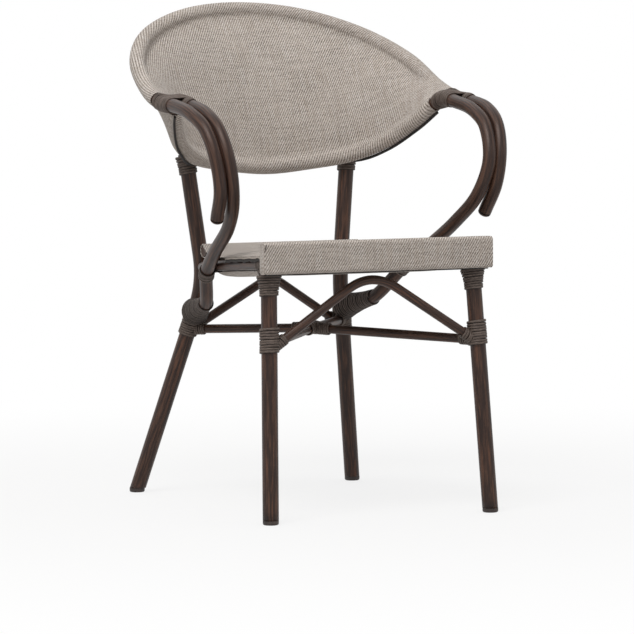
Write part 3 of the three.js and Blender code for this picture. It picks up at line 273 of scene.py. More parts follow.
yarn = {
    "warpPitch": 1.12,
    "weftPitch": 1.75,
    "breaks": 0.42,  # how much single crossings fade into the next
    "light": colour(220, 213, 206),
    "lightWarm": colour(202, 191, 180),
    "dark": colour(140, 129, 121),
    # darkest yarn tint, also used as the painted shade between the yarns
    "darkest": colour(98, 87, 79),
    "roughness": 0.82,
}


def makeMeshMaterial():
    s = Shader("meshFabric")
    across, upward = s.uv()
    warp = across / (yarn["warpPitch"] * mm)
    weft = upward / (yarn["weftPitch"] * mm)
    warpCount = warp.math("FLOOR")
    weftCount = weft.math("FLOOR")
    warpOnTop = (warpCount - weftCount).math("FLOORED_MODULO", 4) < 2
    warpSide = warp.math("FRACT") * 2 - 1
    weftSide = weft.math("FRACT") * 2 - 1
    warpHeight = 1 - warpSide * warpSide
    weftHeight = 0.8 - weftSide * weftSide * 0.8
    height = warpOnTop * warpHeight + (1 - warpOnTop) * weftHeight * 0.8
    warpTint = s.noise(s.joined(warpCount * 0.71, upward * 18, 0.0), 1.0, 1)
    weftTint = s.noise(s.joined(across * 18, weftCount * 0.63, 5.0), 1.0, 1)
    clouds = s.noise(s.joined(across, upward, 1.0), 9, 3)
    streaks = s.noise(s.joined(across * 240, upward * 7, 8.0), 1.0, 3, 0.6)
    light = s.mix(s.softStep(warpTint, 0.35, 0.65), yarn["lightWarm"], yarn["light"])
    dark = s.mix(s.softStep(weftTint, 0.4, 0.6), yarn["darkest"], yarn["dark"])
    crossing = s.joined(warpCount, (weft / 2.6).math("FLOOR"), 0.0)
    odd = s.add("ShaderNodeTexWhiteNoise", {"noise_dimensions": "2D"}, {"Vector": crossing})
    fade = s.softStep(odd, 0.35, 0.95) * yarn["breaks"]
    base = s.mix(warpOnTop * (1 - fade) + (1 - warpOnTop) * fade * 0.8, dark, light)
    # painted shade in the hollows between the yarns: the lower the weave, the darker
    groove = s.softStep(height, 0.05, 0.5)
    base = s.mix((1 - groove) * 0.65, base, yarn["darkest"])
    base = s.mix(s.softStep(clouds, 0.35, 0.7) * 0.12, base, yarn["lightWarm"])
    base = s.mix(s.softStep(streaks, 0.5, 0.72) * 0.3, base, yarn["dark"])
    return s.finish(
        Base_Color=base,
        Roughness=yarn["roughness"],
        Sheen_Weight=0.12,
        Specular_IOR_Level=0.25,
        Normal=s.bump(height, 0.45, 0.0005),
    )


def makeEdgeMaterial():
    s = Shader("edgeTape")
    x, y, z = s.parts(s.place("Object"))
    threads = ((x + y * 0.7 + z * 0.4) * 2600).math("SINE")
    base = s.mix(threads * 0.5 + 0.5, colour(18, 14, 12), colour(40, 32, 28))
    return s.finish(Base_Color=base, Roughness=0.75, Normal=s.bump(threads, 0.25, 0.0003))


def makePipingMaterial():
    # a pale cord with its threads across
    s = Shader("palePiping")
    along, around = s.uv()
    threads = (along * 5200 + around * 6.28).math("SINE")
    base = s.mix(threads * 0.5 + 0.5, colour(120, 108, 98), colour(206, 196, 186))
    return s.finish(Base_Color=base, Roughness=0.8, Normal=s.bump(threads, 0.3, 0.0003))


def makeGlideMaterial():
    s = Shader("glidePlastic")
    place = s.place("Object")
    grain = s.noise(place, 900, 2)
    wear = s.noise(place, 60, 3)
    base = s.mix(s.softStep(wear, 0.5, 0.75), colour(44, 34, 30), colour(66, 53, 47))
    return s.finish(Base_Color=base, Roughness=0.45 + 0.15 * wear, Normal=s.bump(grain, 0.1, 0.0003))


materials = {
    "tube": makeTubeMaterial(),
    "strip": makeStripMaterial(),
    "fabric": makeMeshMaterial(),
    "edge": makeEdgeMaterial(),
    "piping": makePipingMaterial(),
    "glide": makeGlideMaterial(),
}
print("materials ready")


# Lines that tubes and windings follow, as points close together

class Line:
    def __init__(self, points):
        self.points = points
        self.travel = [0.0]
        for a, b in zip(points, points[1:]):
            self.travel.append(self.travel[-1] + (b - a).length)
        self.length = self.travel[-1]

    def at(self, distance):
        distance = min(max(distance, 0), self.length)
        i = min(bisect_left(self.travel, distance, 1), len(self.travel) - 1)
        step = self.travel[i] - self.travel[i - 1]
        return self.points[i - 1].lerp(self.points[i], (distance - self.travel[i - 1]) / step)

    def along(self, distance):
        near = min(0.001, self.length / 4)
        before = self.at(max(distance - near, 0))
        after = self.at(min(distance + near, self.length))
        return (after - before).normalized()

    def part(self, start, end, step):
        count = max(1, round((end - start) / step))
        return Line([self.at(start + (end - start) * i / count) for i in range(count + 1)])

    def mirrored(self, sign):
        return Line([mirrored(p, sign) for p in self.points])

    def reached(self, gap, start=0.0):
        # the distance, past a start, at which a gap measured at the points closes
        for i in range(1, len(self.points)):
            a, b = gap(self.points[i - 1]), gap(self.points[i])
            if self.travel[i] > start and a >= 0 >= b and a > b:
                return between(self.travel[i - 1], self.travel[i], a / (a - b))
        return self.length

    def toSetback(self, setback, start=0.0):
        return self.reached(lambda p: p.y - (setback - chairMiddle) * mm, start)

    def toHeight(self, height):
        return self.reached(lambda p: height * mm - p.z)

    def atHeight(self, height):
        return self.at(self.toHeight(height))


def smoothLine(points, perSpan=24):
    # a centripetal curve through all points
    knots = [points[0] * 2 - points[1], *points, points[-1] * 2 - points[-2]]
    made = [points[0].copy()]
    for p0, p1, p2, p3 in zip(knots, knots[1:], knots[2:], knots[3:]):
        d0, d1, d2 = ((b - a).length ** 0.5 for a, b in ((p0, p1), (p1, p2), (p2, p3)))
        leave = ((p1 - p0) / d0 - (p2 - p0) / (d0 + d1) + (p2 - p1) / d1) * d1
        arrive = ((p2 - p1) / d1 - (p3 - p1) / (d1 + d2) + (p3 - p2) / d2) * d1
        for t in evenShares(perSpan)[1:]:
            made.append(
                p1 * (2 * t ** 3 - 3 * t ** 2 + 1) + leave * (t ** 3 - 2 * t ** 2 + t)
                + p2 * (3 * t ** 2 - 2 * t ** 3) + arrive * (t ** 3 - t ** 2)
            )
    return Line(made)


def bentLine(corners, bend):
    # straight runs joined by rounded bends, each starting its own length before the corner
    made = [corners[0]]
    for before, corner, after in zip(corners, corners[1:], corners[2:]):
        start = corner + (before - corner).normalized() * bend * mm
        end = corner + (after - corner).normalized() * bend * mm
        for t in evenShares(12):
            made.append(start * (1 - t) ** 2 + corner * 2 * t * (1 - t) + end * t ** 2)
    made.append(corners[-1])
    return Line(made)


# Piece help

def finishPiece(piece, name, slot, node, look=None):
    # the look is the material's name where it isn't the slot's
    piece.name = name
    piece.data.name = name
    piece.data.materials.clear()
    piece.data.materials.append(materials[look or slot])
    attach(piece, "root")
    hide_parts(node)
    return piece


def selectOnly(piece):
    bpy.ops.object.select_all(action="DESELECT")
    piece.select_set(True)
    bpy.context.view_layer.objects.active = piece


def editAll(piece):
    selectOnly(piece)
    bpy.ops.object.mode_set(mode="EDIT")
    bpy.ops.mesh.select_all(action="SELECT")


def leaveEdit():
    bpy.ops.object.mode_set(mode="OBJECT")


def smoothBelow(degrees):
    # smooth shading across edges that bend less than this
    bpy.ops.object.shade_smooth_by_angle(angle=math.radians(degrees))


def faceOutward(piece):
    editAll(piece)
    bpy.ops.mesh.normals_make_consistent(inside=False)
    leaveEdit()


def ringMesh(name, rings, capped=False):
    # a mesh of rings of points, each joined to the next, with an empty UV layer
    around = len(rings[0])
    faces = []
    for low in range(0, (len(rings) - 1) * around, around):
        for k in range(around):
            a, b = low + k, low + (k + 1) % around
            faces.append((a, b, b + around, a + around))
    if capped:
        faces.append(tuple(reversed(range(around))))
        faces.append(tuple(range((len(rings) - 1) * around, len(rings) * around)))
    mesh = bpy.data.meshes.new(name)
    mesh.from_pydata([p for ring in rings for p in ring], [], faces)
    mesh.uv_layers.new(name="UVMap")
    piece = bpy.data.objects.new(name, mesh)
    bpy.context.scene.collection.objects.link(piece)
    return piece


def tubePiece(line, radius, step=8):
    # a round tube swept along a line; its UV runs in metres along it and 0 to 1 round it
    path = line.part(0, line.length, step * mm)
    data = bpy.data.curves.new("tube", "CURVE")
    data.dimensions = "3D"
    spline = data.splines.new("POLY")
    spline.points.add(len(path.points) - 1)
    for point, place in zip(spline.points, path.points):
        point.co = (*place, 1)
    data.bevel_depth = radius * mm
    data.bevel_resolution = 7
    data.use_fill_caps = True
    piece = bpy.data.objects.new("tube", data)
    bpy.context.scene.collection.objects.link(piece)
    selectOnly(piece)
    bpy.ops.object.convert(target="MESH")
    piece = bpy.context.object
    for corner in piece.data.uv_layers[0].data:
        corner.uv.x *= line.length
    editAll(piece)
    bpy.ops.mesh.remove_doubles(threshold=0.00001)
    bpy.ops.mesh.normals_make_consistent(inside=False)
    leaveEdit()
    smoothBelow(50)
    return piece


def joinPieces(pieces):
    bpy.ops.object.select_all(action="DESELECT")
    for piece in pieces:
        piece.select_set(True)
    bpy.context.view_layer.objects.active = pieces[0]
    if len(pieces) > 1:
        bpy.ops.object.join()
    return bpy.context.object


def strandPiece(rings):
    # a closed strand through rings of points, with its UV in metres along and 0 to 1 round it
    around = len(rings[0])
    piece = ringMesh("strand", rings, capped=True)
    mesh, layer = piece.data, piece.data.uv_layers[0].data
    travel = [0.0]
    for a, b in zip(rings, rings[1:]):
        travel.append(travel[-1] + (b[0] - a[0]).length)
    for face in mesh.polygons:
        onSeam = {mesh.loops[loop].vertex_index % around for loop in face.loop_indices} == {0, around - 1}
        for loop in face.loop_indices:
            ring, k = divmod(mesh.loops[loop].vertex_index, around)
            share = 1.0 if onSeam and k == 0 else k / around
            layer[loop].uv = (travel[ring], share)
    faceOutward(piece)
    smoothBelow(70)
    return piece


def strandRing(place, along, outward, width, thickness):
    # rounded section, a little squarer than an ellipse
    ring = []
    for k in range(8):
        angle = math.pi / 4 * k
        c, s = math.cos(angle), math.sin(angle)
        a = math.copysign(abs(c) ** 0.75, c) * width / 2
        b = math.copysign(abs(s) ** 0.85, s) * thickness / 2
        ring.append(place + along * a * mm + outward * b * mm)
    return ring


strand = {
    "width": 4.2,
    "thickness": 2.2,
    "lift": 0.1,
    "wander": 0.35,  # how unevenly the turns lie
    "steps": 26,
}


def uneven(turn, slow, quick):
    # a slow and a quick wave along the turns of a winding
    return slow * math.sin(turn * 2.4) + quick * math.sin(turn * 5.3)


def windRound(line, start, end, radius, flare=0.0):
    # a strand wound round a line from one distance along it to another; lengths in mm
    turns = max(2, round((end - start) / strand["width"]))
    pitch = (end - start) / turns
    across = line.along((start + end) / 2 * mm).orthogonal()
    rings = []
    for i in range(turns * strand["steps"] + 1):
        turn = i / strand["steps"]
        wander = uneven(turn, strand["wander"], strand["wander"])
        distance = (start + pitch * turn + 0.25 * wander * pitch) * mm
        place, along = line.at(distance), line.along(distance)
        first = (across - along * across.dot(along)).normalized()
        second = along.cross(first)
        angle = 2 * math.pi * turn
        outward = first * math.cos(angle) + second * math.sin(angle)
        lift = strand["lift"] + strand["wander"] * 0.5 + 0.25 * wander + strand["thickness"] / 2
        reach = (radius + flare * (turn / turns) ** 2 + lift) * mm
        rings.append(strandRing(place + outward * reach, along, outward, pitch, strand["thickness"]))
    return strandPiece(rings)


# Frame tubes

backRails = {
    "radius": 11,
    "halfWidth": 264,
    "top": (567, 815),  # setback and height at the middle
    "bottom": (442, 551),
    "tip": (262, 666),
    "tipHalfWidth": 254.5,
    "tipSpacing": 25,
    # shares of the half width, of the depth and of the height from the tip
    "topShares": ((0, 1, 1), (0.4, 0.93, 0.93), (0.74, 0.757, 0.72), (0.94, 0.495, 0.43), (1.0, 0.21, 0.12)),
    "bottomShares": ((0, 1, 1), (0.29, 0.961, 0.939), (0.54, 0.839, 0.835), (0.71, 0.611, 0.635),
                     (0.83, 0.339, 0.34)),
}

arms = {
    "radius": 11,
    "hidden": 12,  # how far behind the rails' tips the tubes start, inside the windings
    "endTrim": 12,
    "reach": 190,
    "innerDrop": 182,
    "outerDrop": 181,
    # shares of the width (from the tie for the inner arm), of the reach and of the drop
    "innerShares": ((0.953, 0.29, 0.025), (0.953, 0.6, 0.085), (0.938, 0.86, 0.23), (0.832, 1.0, 0.53),
                    (0.63, 0.91, 0.84), (0.401, 0.64, 1.09), (0.241, 0.25, 1.32)),
    "outerShares": ((1.0, 0.29, 0.022), (1.0, 0.6, 0.08), (0.978, 0.85, 0.22), (0.952, 0.975, 0.47),
                    (0.923, 0.975, 0.75), (0.9, 0.83, 1.0)),
    "tie": (180.2, 286, 385.5),
    "lastBend": (154.2, 350, 331),
    "end": (136.7, 440, 309),
}


def railHalf(shares, middle, tipHalfWidth):
    setback, height = backRails["tip"]
    half = []
    for across, inward, rise in shares:
        y, z = between(setback, middle[0], inward), between(height, middle[1], rise)
        half.append(spot(across * backRails["halfWidth"], y, z))
    return half + [spot(tipHalfWidth, setback, height)]


def armRun(shares, low, high, drop):
    setback, height = backRails["tip"]
    return [
        spot(between(low, high, across), setback - forward * arms["reach"], height - down * drop)
        for across, forward, down in shares
    ]


tipOuter = backRails["tipHalfWidth"] + backRails["tipSpacing"] / 2
tipInner = backRails["tipHalfWidth"] - backRails["tipSpacing"] / 2
topHalf = railHalf(backRails["topShares"], backRails["top"], tipOuter)
bottomHalf = railHalf(backRails["bottomShares"], backRails["bottom"], tipInner)
outerRun = armRun(arms["outerShares"], 0, tipOuter, arms["outerDrop"])
innerRun = armRun(arms["innerShares"], arms["tie"][0], tipInner, arms["innerDrop"])


def railLine(half, armStart):
    right = half + armStart
    left = [mirrored(p, -1) for p in reversed(right[1:])]
    return smoothLine(left + right)


topRail = railLine(topHalf, outerRun[:2])
bottomRail = railLine(bottomHalf, innerRun[:2])
armTail = [spot(*arms["tie"]), spot(*arms["lastBend"]), spot(*arms["end"])]
innerArm = smoothLine(bottomHalf[-3:] + innerRun + armTail)
outerArm = smoothLine(topHalf[-3:] + outerRun)


posts = {
    "radius": 13,
    "foot": (202.5, 539, 0),
    "knee": (125.4, 423, 362),
    "top": (149.5, 442, 575),
    "kneeBend": 44,
}

frontLegs = {
    "radius": 13,
    "foot": (196, 0, 0),
    "top": (181.2, 35.6, 404),
}

glides = {
    "height": 7,
    "rim": 0.1,  # how much narrower than the tube
    "rounding": 3,
    "seam": 0.3,  # gap between glide and tube
}


def postLine(sign):
    corners = [mirrored(spot(*posts[name]), sign) for name in ("foot", "knee", "top")]
    return bentLine(corners, posts["kneeBend"])


def legLine(sign):
    return Line([mirrored(spot(*frontLegs[name]), sign) for name in ("foot", "top")])


def addLegTube(line, radius, step, name, node):
    # starts below the floor line and is cut level above its glide
    start = line.points[0] - line.along(0) * 10 * mm
    piece = tubePiece(Line([start] + line.points), radius, step)
    editAll(piece)
    level = (0, 0, (glides["height"] + glides["seam"]) * mm)
    bpy.ops.mesh.bisect(plane_co=level, plane_no=(0, 0, 1), clear_inner=True, use_fill=True)
    leaveEdit()
    finishPiece(piece, name, "tube", node)


def addLegs():
    for name, sign in sides:
        addLegTube(legLine(sign), frontLegs["radius"], 30, f"frontLegTube_{name}", f"front_leg_{name}")
        addLegTube(postLine(sign), posts["radius"], 8, f"rearPostTube_{name}", f"rear_post_{name}")


def addGlide(line, radius, name, node):
    bpy.ops.mesh.primitive_cylinder_add(
        vertices=40,
        radius=(radius - glides["rim"]) * mm,
        depth=glides["height"] * mm,
        location=(line.at(0) + line.atHeight(glides["height"])) / 2,
    )
    glide = bpy.context.object
    bpy.ops.object.mode_set(mode="EDIT")
    bpy.ops.mesh.select_all(action="DESELECT")
    leaveEdit()
    for edge in glide.data.edges:
        edge.select = all(glide.data.vertices[i].co.z < 0 for i in edge.vertices)
    bpy.ops.object.mode_set(mode="EDIT")
    bpy.ops.mesh.bevel(offset=glides["rounding"] * mm, segments=5, affect="EDGES")
    leaveEdit()
    bpy.ops.object.transform_apply(location=True, rotation=True, scale=True)
    smoothBelow(50)
    finishPiece(glide, name, "glide", node)


def addGlides():
    for name, sign in sides:
        addGlide(legLine(sign), frontLegs["radius"], f"glide_front_{name}", f"foot_glide_front_{name}")
        addGlide(postLine(sign), posts["radius"], f"glide_rear_{name}", f"foot_glide_rear_{name}")


def addTube(line, radius, step, name, node):
    finishPiece(tubePiece(line, radius, step), name, "tube", node)


def addArms():
    for name, sign in sides:
        for stem, node, line, trim in (
            ("innerArm", "inner_arm_tube", innerArm, arms["endTrim"]),
            ("outerArm", "outer_arm_tube", outerArm, 0),
        ):
            start = line.toSetback(backRails["tip"][0] + arms["hidden"])
            tube = line.part(start, line.length - trim * mm, 6 * mm).mirrored(sign)
            addTube(tube, arms["radius"], 6, f"{stem}_{name}", f"{node}_{name}")
        addArmCap(name, tube)


armCap = {"dome": 6, "widthShare": 0.985, "seam": 0.3}


def addArmCap(name, line):
    # a plug with a low dome that closes the short arm tube
    direction = line.along(line.length)
    turn = Vector((0, 0, 1)).rotation_difference(direction)
    bpy.ops.mesh.primitive_uv_sphere_add(segments=40, ring_count=24, radius=arms["radius"] * mm)
    cap = bpy.context.object
    editAll(cap)
    bpy.ops.mesh.bisect(plane_co=(0, 0, 0), plane_no=(0, 0, 1), clear_inner=True, use_fill=True)
    bpy.ops.mesh.select_all(action="SELECT")
    wide = armCap["widthShare"]
    bpy.ops.transform.resize(value=(wide, wide, armCap["dome"] / arms["radius"]))
    leaveEdit()
    place = line.at(line.length) + direction * armCap["seam"] * mm
    cap.matrix_world = Matrix.Translation(place) @ turn.to_matrix().to_4x4()
    selectOnly(cap)
    bpy.ops.object.transform_apply(location=True, rotation=True, scale=True)
    smoothBelow(50)
    finishPiece(cap, f"armPlug_{name}", "tube", f"outer_arm_cap_{name}")


apron = {
    "top": 449,
    "height": 51,
    "front": 3.6,
    "depth": 18,
    "halfWidth": 203,
    "corner": 5.5,
}
apronBack = apron["front"] + apron["depth"]

sideRails = {
    "radius": 9,
    "front": (182, 414),  # half width and height
    "rear": (129, 386),
    "rearSetback": 421,
    "seam": 0.3,
    "endTrim": 12,
    "shares": ((0, 0, 0), (0.07, 0.23, 0.2), (0.19, 0.46, 0.41),
               (0.4, 0.69, 0.64), (0.68, 0.87, 0.85), (1, 1, 1)),
}


def sideRailLine():
    front, rear = sideRails["front"], sideRails["rear"]
    start = apronBack + sideRails["seam"]
    return smoothLine([
        spot(
            between(front[0], rear[0], inward),
            start + along * (sideRails["rearSetback"] - apronBack),
            between(front[1], rear[1], down),
        )
        for inward, along, down in sideRails["shares"]
    ])


sideRail = sideRailLine()


def addSideRails():
    for name, sign in sides:
        line = sideRail.part(0, sideRail.length - sideRails["endTrim"] * mm, 8 * mm).mirrored(sign)
        addTube(line, sideRails["radius"], 8, f"seatRail_{name}", f"side_rail_{name}")


braces = {
    "radius": 7.5,
    "frontFoot": 276,
    "frontApex": (0, 34.98, 397),
    "frontBend": 52,
    "rearFoot": 277,
    "rearApex": (0, 426.83, 367),
    "rearBend": 26,
    "trim": 13,
}

stretchers = {
    "radius": 7.5,
    "longFront": 280,
    "longRear": 281,
    "halfFront": 285,
    "halfRear": 287,
    "crossing": (0, 264.65, 290),
    "crossingBend": 40,
    "halfTrim": 8,
}


frontFoot = legLine(1).atHeight(braces["frontFoot"])
rearFoot = postLine(1).atHeight(braces["rearFoot"])
frontBrace = bentLine([mirrored(frontFoot, -1), spot(*braces["frontApex"]), frontFoot], braces["frontBend"])
rearBrace = bentLine([mirrored(rearFoot, -1), spot(*braces["rearApex"]), rearFoot], braces["rearBend"])
crossing = spot(*stretchers["crossing"])
longFront = legLine(1).atHeight(stretchers["longFront"])
longRear = postLine(-1).atHeight(stretchers["longRear"])
halfFront = legLine(-1).atHeight(stretchers["halfFront"])
halfRear = postLine(1).atHeight(stretchers["halfRear"])
longStretcher = bentLine([longFront, crossing, longRear], stretchers["crossingBend"])
halfFrontLine = Line([halfFront, crossing])
halfRearLine = Line([halfRear, crossing])


def addBracesAndStretchers():
    trim, halfTrim = braces["trim"], stretchers["halfTrim"]
    for name, line, endTrim, node in (
        ("frontBraceTube", frontBrace, trim, "front_brace"),
        ("rearBraceTube", rearBrace, trim, "rear_brace"),
        ("longStretcherTube", longStretcher, trim, "stretcher_long"),
        ("halfStretcherTube_front", halfFrontLine, halfTrim, "stretcher_half_front"),
        ("halfStretcherTube_rear", halfRearLine, halfTrim, "stretcher_half_rear"),
    ):
        run = line.part(trim * mm, line.length - endTrim * mm, 6 * mm)
        addTube(run, stretchers["radius"], 6, name, node)


addLegs()
addGlides()
addArms()
addSideRails()
addBracesAndStretchers()
print("tubes ready")


# Woven mesh back: a sleeve round both back rails, drawn in between them

backSleeve = {
    "skin": 1.2,
    "gap": 0.7,
    "endSetback": 284,
    "waistShare": 0.055,
    "rows": 145,
    "arcSteps": 16,
    "spanSteps": 40,
    "topValley": 47,  # degrees that the cloth hugs a rail past its front
    "bottomValley": 32,
    "valleyReach": 11,
    "valleySpans": (55, 120),  # rail spacings between which the valley deepens
}


def closedSkin(rings, uvRings):
    # rings of points closed round their own loop; each stretch of a ring has a UV for its start and end
    piece = ringMesh("skin", rings)
    corners = []
    for nearRing, farRing in zip(uvRings, uvRings[1:]):
        for near, far in zip(nearRing, farRing):
            corners += [near[0], near[1], far[1], far[0]]
    for corner, uv in zip(piece.data.uv_layers[0].data, corners):
        corner.uv = uv
    return piece


def thicken(piece, thickness):
    faceOutward(piece)
    solid = piece.modifiers.new("thickness", "SOLIDIFY")
    solid.thickness = thickness * mm
    solid.offset = -1
    solid.use_even_offset = True
    bpy.ops.object.modifier_apply(modifier="thickness")
    smoothBelow(60)


def sleeveSection(top, bottom, topAlong, bottomAlong, radius):
    # one ring round both rails as four runs of (place, share of the way up, reach past the rail)
    across = top - bottom
    span = across.length
    frames = []
    for along in (topAlong, bottomAlong):
        up = (across - along * across.dot(along)).normalized()
        frames.append((along.cross(up), up))
    high, low = frames
    out = (high[0] + low[0]).normalized()
    waist = backSleeve["waistShare"] * span
    slope = math.pi * waist / span
    lean = math.atan(slope)
    depth = smoothShare(span / mm, *backSleeve["valleySpans"])
    topFront = lean * (1 - depth) - math.radians(backSleeve["topValley"]) * depth
    bottomFront = -lean * (1 - depth) + math.radians(backSleeve["bottomValley"]) * depth
    reach = backSleeve["valleyReach"] * mm

    def onArc(centre, axes, angle):
        return centre + axes[0] * radius * math.cos(angle) + axes[1] * radius * math.sin(angle)

    def valley(distance, angle):
        size = reach / math.e * (slope - math.tan(angle))
        return size * distance / reach * math.exp(1 - distance / reach)

    topArc, backSpan, bottomArc, frontSpan = [], [], [], []
    for way in evenShares(backSleeve["arcSteps"]):
        turn = (math.pi + lean - topFront) * way
        topArc.append((onArc(top, high, topFront + turn), 1, radius * turn))
        turn = (math.pi + lean + bottomFront) * (1 - way)
        bottomArc.append((onArc(bottom, low, bottomFront - turn), 0, -radius * turn))
    for way in evenShares(backSleeve["spanSteps"]):
        share = (1 - math.cos(math.pi * way)) / 2
        bulge = out * waist * math.sin(math.pi * share)
        backSpan.append((topArc[-1][0].lerp(bottomArc[0][0], share) + bulge, 1 - share, 0))
        dip = valley(share * span, -bottomFront) + valley((1 - share) * span, topFront)
        frontSpan.append((bottomArc[-1][0].lerp(topArc[0][0], share) + bulge - out * dip, share, 0))
    return topArc, backSpan, bottomArc, frontSpan


def thirdCorner(a, b, fromA, fromB):
    # the point at known distances from two others, to the right of the way from a to b
    way = b - a
    length = way.length
    way = way / length
    along = (fromA ** 2 - fromB ** 2 + length ** 2) / (2 * length)
    return a + way * along + Vector((way.y, -way.x)) * math.sqrt(max(0, fromA ** 2 - along ** 2))


def unrolled(tops, bottoms):
    # the cloth between the rails laid flat from its middle, as (top, bottom) for each ring
    middle = len(tops) // 2
    flat = {middle: (Vector((0, (tops[middle] - bottoms[middle]).length)), Vector((0, 0)))}
    for i in range(middle, len(tops) - 1):
        top, bottom = flat[i]
        nextBottom = thirdCorner(
            bottom, top, (bottoms[i + 1] - bottoms[i]).length, (bottoms[i + 1] - tops[i]).length,
        )
        nextTop = thirdCorner(
            nextBottom, top, (tops[i + 1] - bottoms[i + 1]).length, (tops[i + 1] - tops[i]).length,
        )
        flat[i + 1] = (nextTop, nextBottom)
        flat[2 * middle - i - 1] = tuple(Vector((-p.x, p.y)) for p in (nextTop, nextBottom))
    return [flat[i] for i in range(len(tops))]


def clothPlace(flatTop, flatBottom, share, beyond, sign):
    place = flatBottom.lerp(flatTop, share) + (flatTop - flatBottom).normalized() * beyond
    return place.x + 1, place.y * sign + 1


def addBackSleeve():
    radius = (backRails["radius"] + backSleeve["gap"] + backSleeve["skin"]) * mm
    rails = (topRail, bottomRail)
    spans = []
    for rail in rails:
        middle = rail.length / 2
        spans.append((rail, middle, rail.toSetback(backSleeve["endSetback"], middle) - middle))
    sections = []
    for share in evenShares(backSleeve["rows"] - 1):
        stations = [(rail, middle + reach * (2 * share - 1)) for rail, middle, reach in spans]
        places = [rail.at(distance) for rail, distance in stations]
        ways = [rail.along(distance) for rail, distance in stations]
        sections.append(sleeveSection(*places, *ways, radius))
    flat = unrolled([s[3][-1][0] for s in sections], [s[3][0][0] for s in sections])
    rings, uvRings = [], []
    for section, (flatTop, flatBottom) in zip(sections, flat):
        ring, uvRing = [], []
        for run, sign in zip(section, (1, -1, 1, 1)):
            uvs = [clothPlace(flatTop, flatBottom, share, beyond, sign) for place, share, beyond in run]
            ring += [place for place, share, beyond in run[:-1]]
            uvRing += list(zip(uvs, uvs[1:]))
        rings.append(ring)
        uvRings.append(uvRing)
    piece = closedSkin(rings, uvRings)
    thicken(piece, backSleeve["skin"])
    return finishPiece(piece, "backFabric", "fabric", "back_sleeve")


backFabric = addBackSleeve()
print("back ready")


# Woven mesh seat: a belt over the front rail and the rear rail

rearRail = {"radius": 10, "setback": 400, "height": 415, "halfWidth": 137}

seatBelt = {
    "skin": 1.2,
    "gap": 0.3,
    "sag": 12,
    "sagPower": 6,
    "lowerDrop": 11,
    "lowerLip": 9,
    "lipPower": 12,
    "lowerHalfWidth": 161,
    "overhang": 13.6,
    "frontSettle": 40,
    "rearSettle": 4,
    "edgeLift": 3,
    "tapeEnd": 200,
    "tuckEnd": 230,
    "tuckOverhang": 3,
    "apronCorner": 6,
    "apronGap": 3,
    "railGap": 3,
    "hangEnds": (0.22, 0.12),  # shares of the way forward over which the lower layer sinks and rises
    "columns": 41,
}


def railTopAt(setback):
    # half width and height on top of the side rail, at its first point past a setback
    for point in sideRail.points[1:]:
        if point.y >= (setback - chairMiddle) * mm:
            break
    return point.x / mm, point.z / mm + sideRails["radius"]


def cornerCut(rise):
    # how far the apron's lower corner is rounded off at a height above its bottom edge
    reach = max(0, seatBelt["apronCorner"] - rise)
    return seatBelt["apronCorner"] - math.sqrt(seatBelt["apronCorner"] ** 2 - reach ** 2)


def seatOutline():
    # the belt's outline: setback, height at the middle, height at the edge and half width
    corner, bottom, top = apron["corner"], apron["top"] - apron["height"], apron["top"]
    quarter = [math.pi / 2 * share for share in evenShares(6)]
    front = [(corner * (1 - math.sin(a)), bottom + corner * (1 - math.cos(a))) for a in quarter]
    front += [(0, between(bottom + corner, top - corner, share)) for share in evenShares(16)[1:-1]]
    front += [(corner * (1 - math.cos(a)), top - corner * (1 - math.sin(a))) for a in quarter]
    front.append((apron["depth"] - corner, top))
    outline = [(apron["front"] + y, z, z, apron["halfWidth"] - cornerCut(z - bottom)) for y, z in front]

    roll = rearRail["radius"] + seatBelt["skin"] + seatBelt["gap"]
    setback, height = rearRail["setback"], rearRail["height"]
    for share in evenShares(40):
        y = between(apronBack + seatBelt["apronGap"], setback - roll, share)
        line = between(top, height + roll, (y - apronBack) / (setback - apronBack))
        middle = line - seatBelt["sag"] * math.sin(math.pi * share)
        railX, railZ = railTopAt(y)
        settle = min(1, share * seatBelt["frontSettle"], (1 - share) * seatBelt["rearSettle"])
        lifted = railZ + seatBelt["skin"] + seatBelt["gap"] + seatBelt["edgeLift"]
        tuck = smoothShare(y, seatBelt["tapeEnd"], seatBelt["tuckEnd"])
        half = railX + between(seatBelt["overhang"], seatBelt["tuckOverhang"], tuck)
        edge = min(between(middle, lifted, settle), middle)
        outline.append((y, middle, edge, max(half, rearRail["halfWidth"])))

    for share in evenShares(16)[1:]:
        angle = math.pi * (0.5 - share)
        z = height + roll * math.sin(angle)
        outline.append((setback + roll * math.cos(angle), z, z, rearRail["halfWidth"]))

    sinking, rising = seatBelt["hangEnds"]
    for share in evenShares(20)[1:]:
        y = between(setback, apronBack - corner, share)
        railX, railZ = railTopAt(max(y, apronBack + seatBelt["apronCorner"]))
        z = between(height - roll, bottom, share)
        hang = smoothShare(share, 0, sinking) * smoothShare(1 - share, 0, rising)
        z += hang * (railZ - 2 * sideRails["radius"] - seatBelt["lowerDrop"] - z)
        inner = railX - sideRails["radius"] - seatBelt["railGap"]
        wide = min(inner, seatBelt["lowerHalfWidth"], rearRail["halfWidth"] + share * apron["halfWidth"])
        outline.append((y, z, z + seatBelt["lowerLip"] * hang, wide))
    return outline


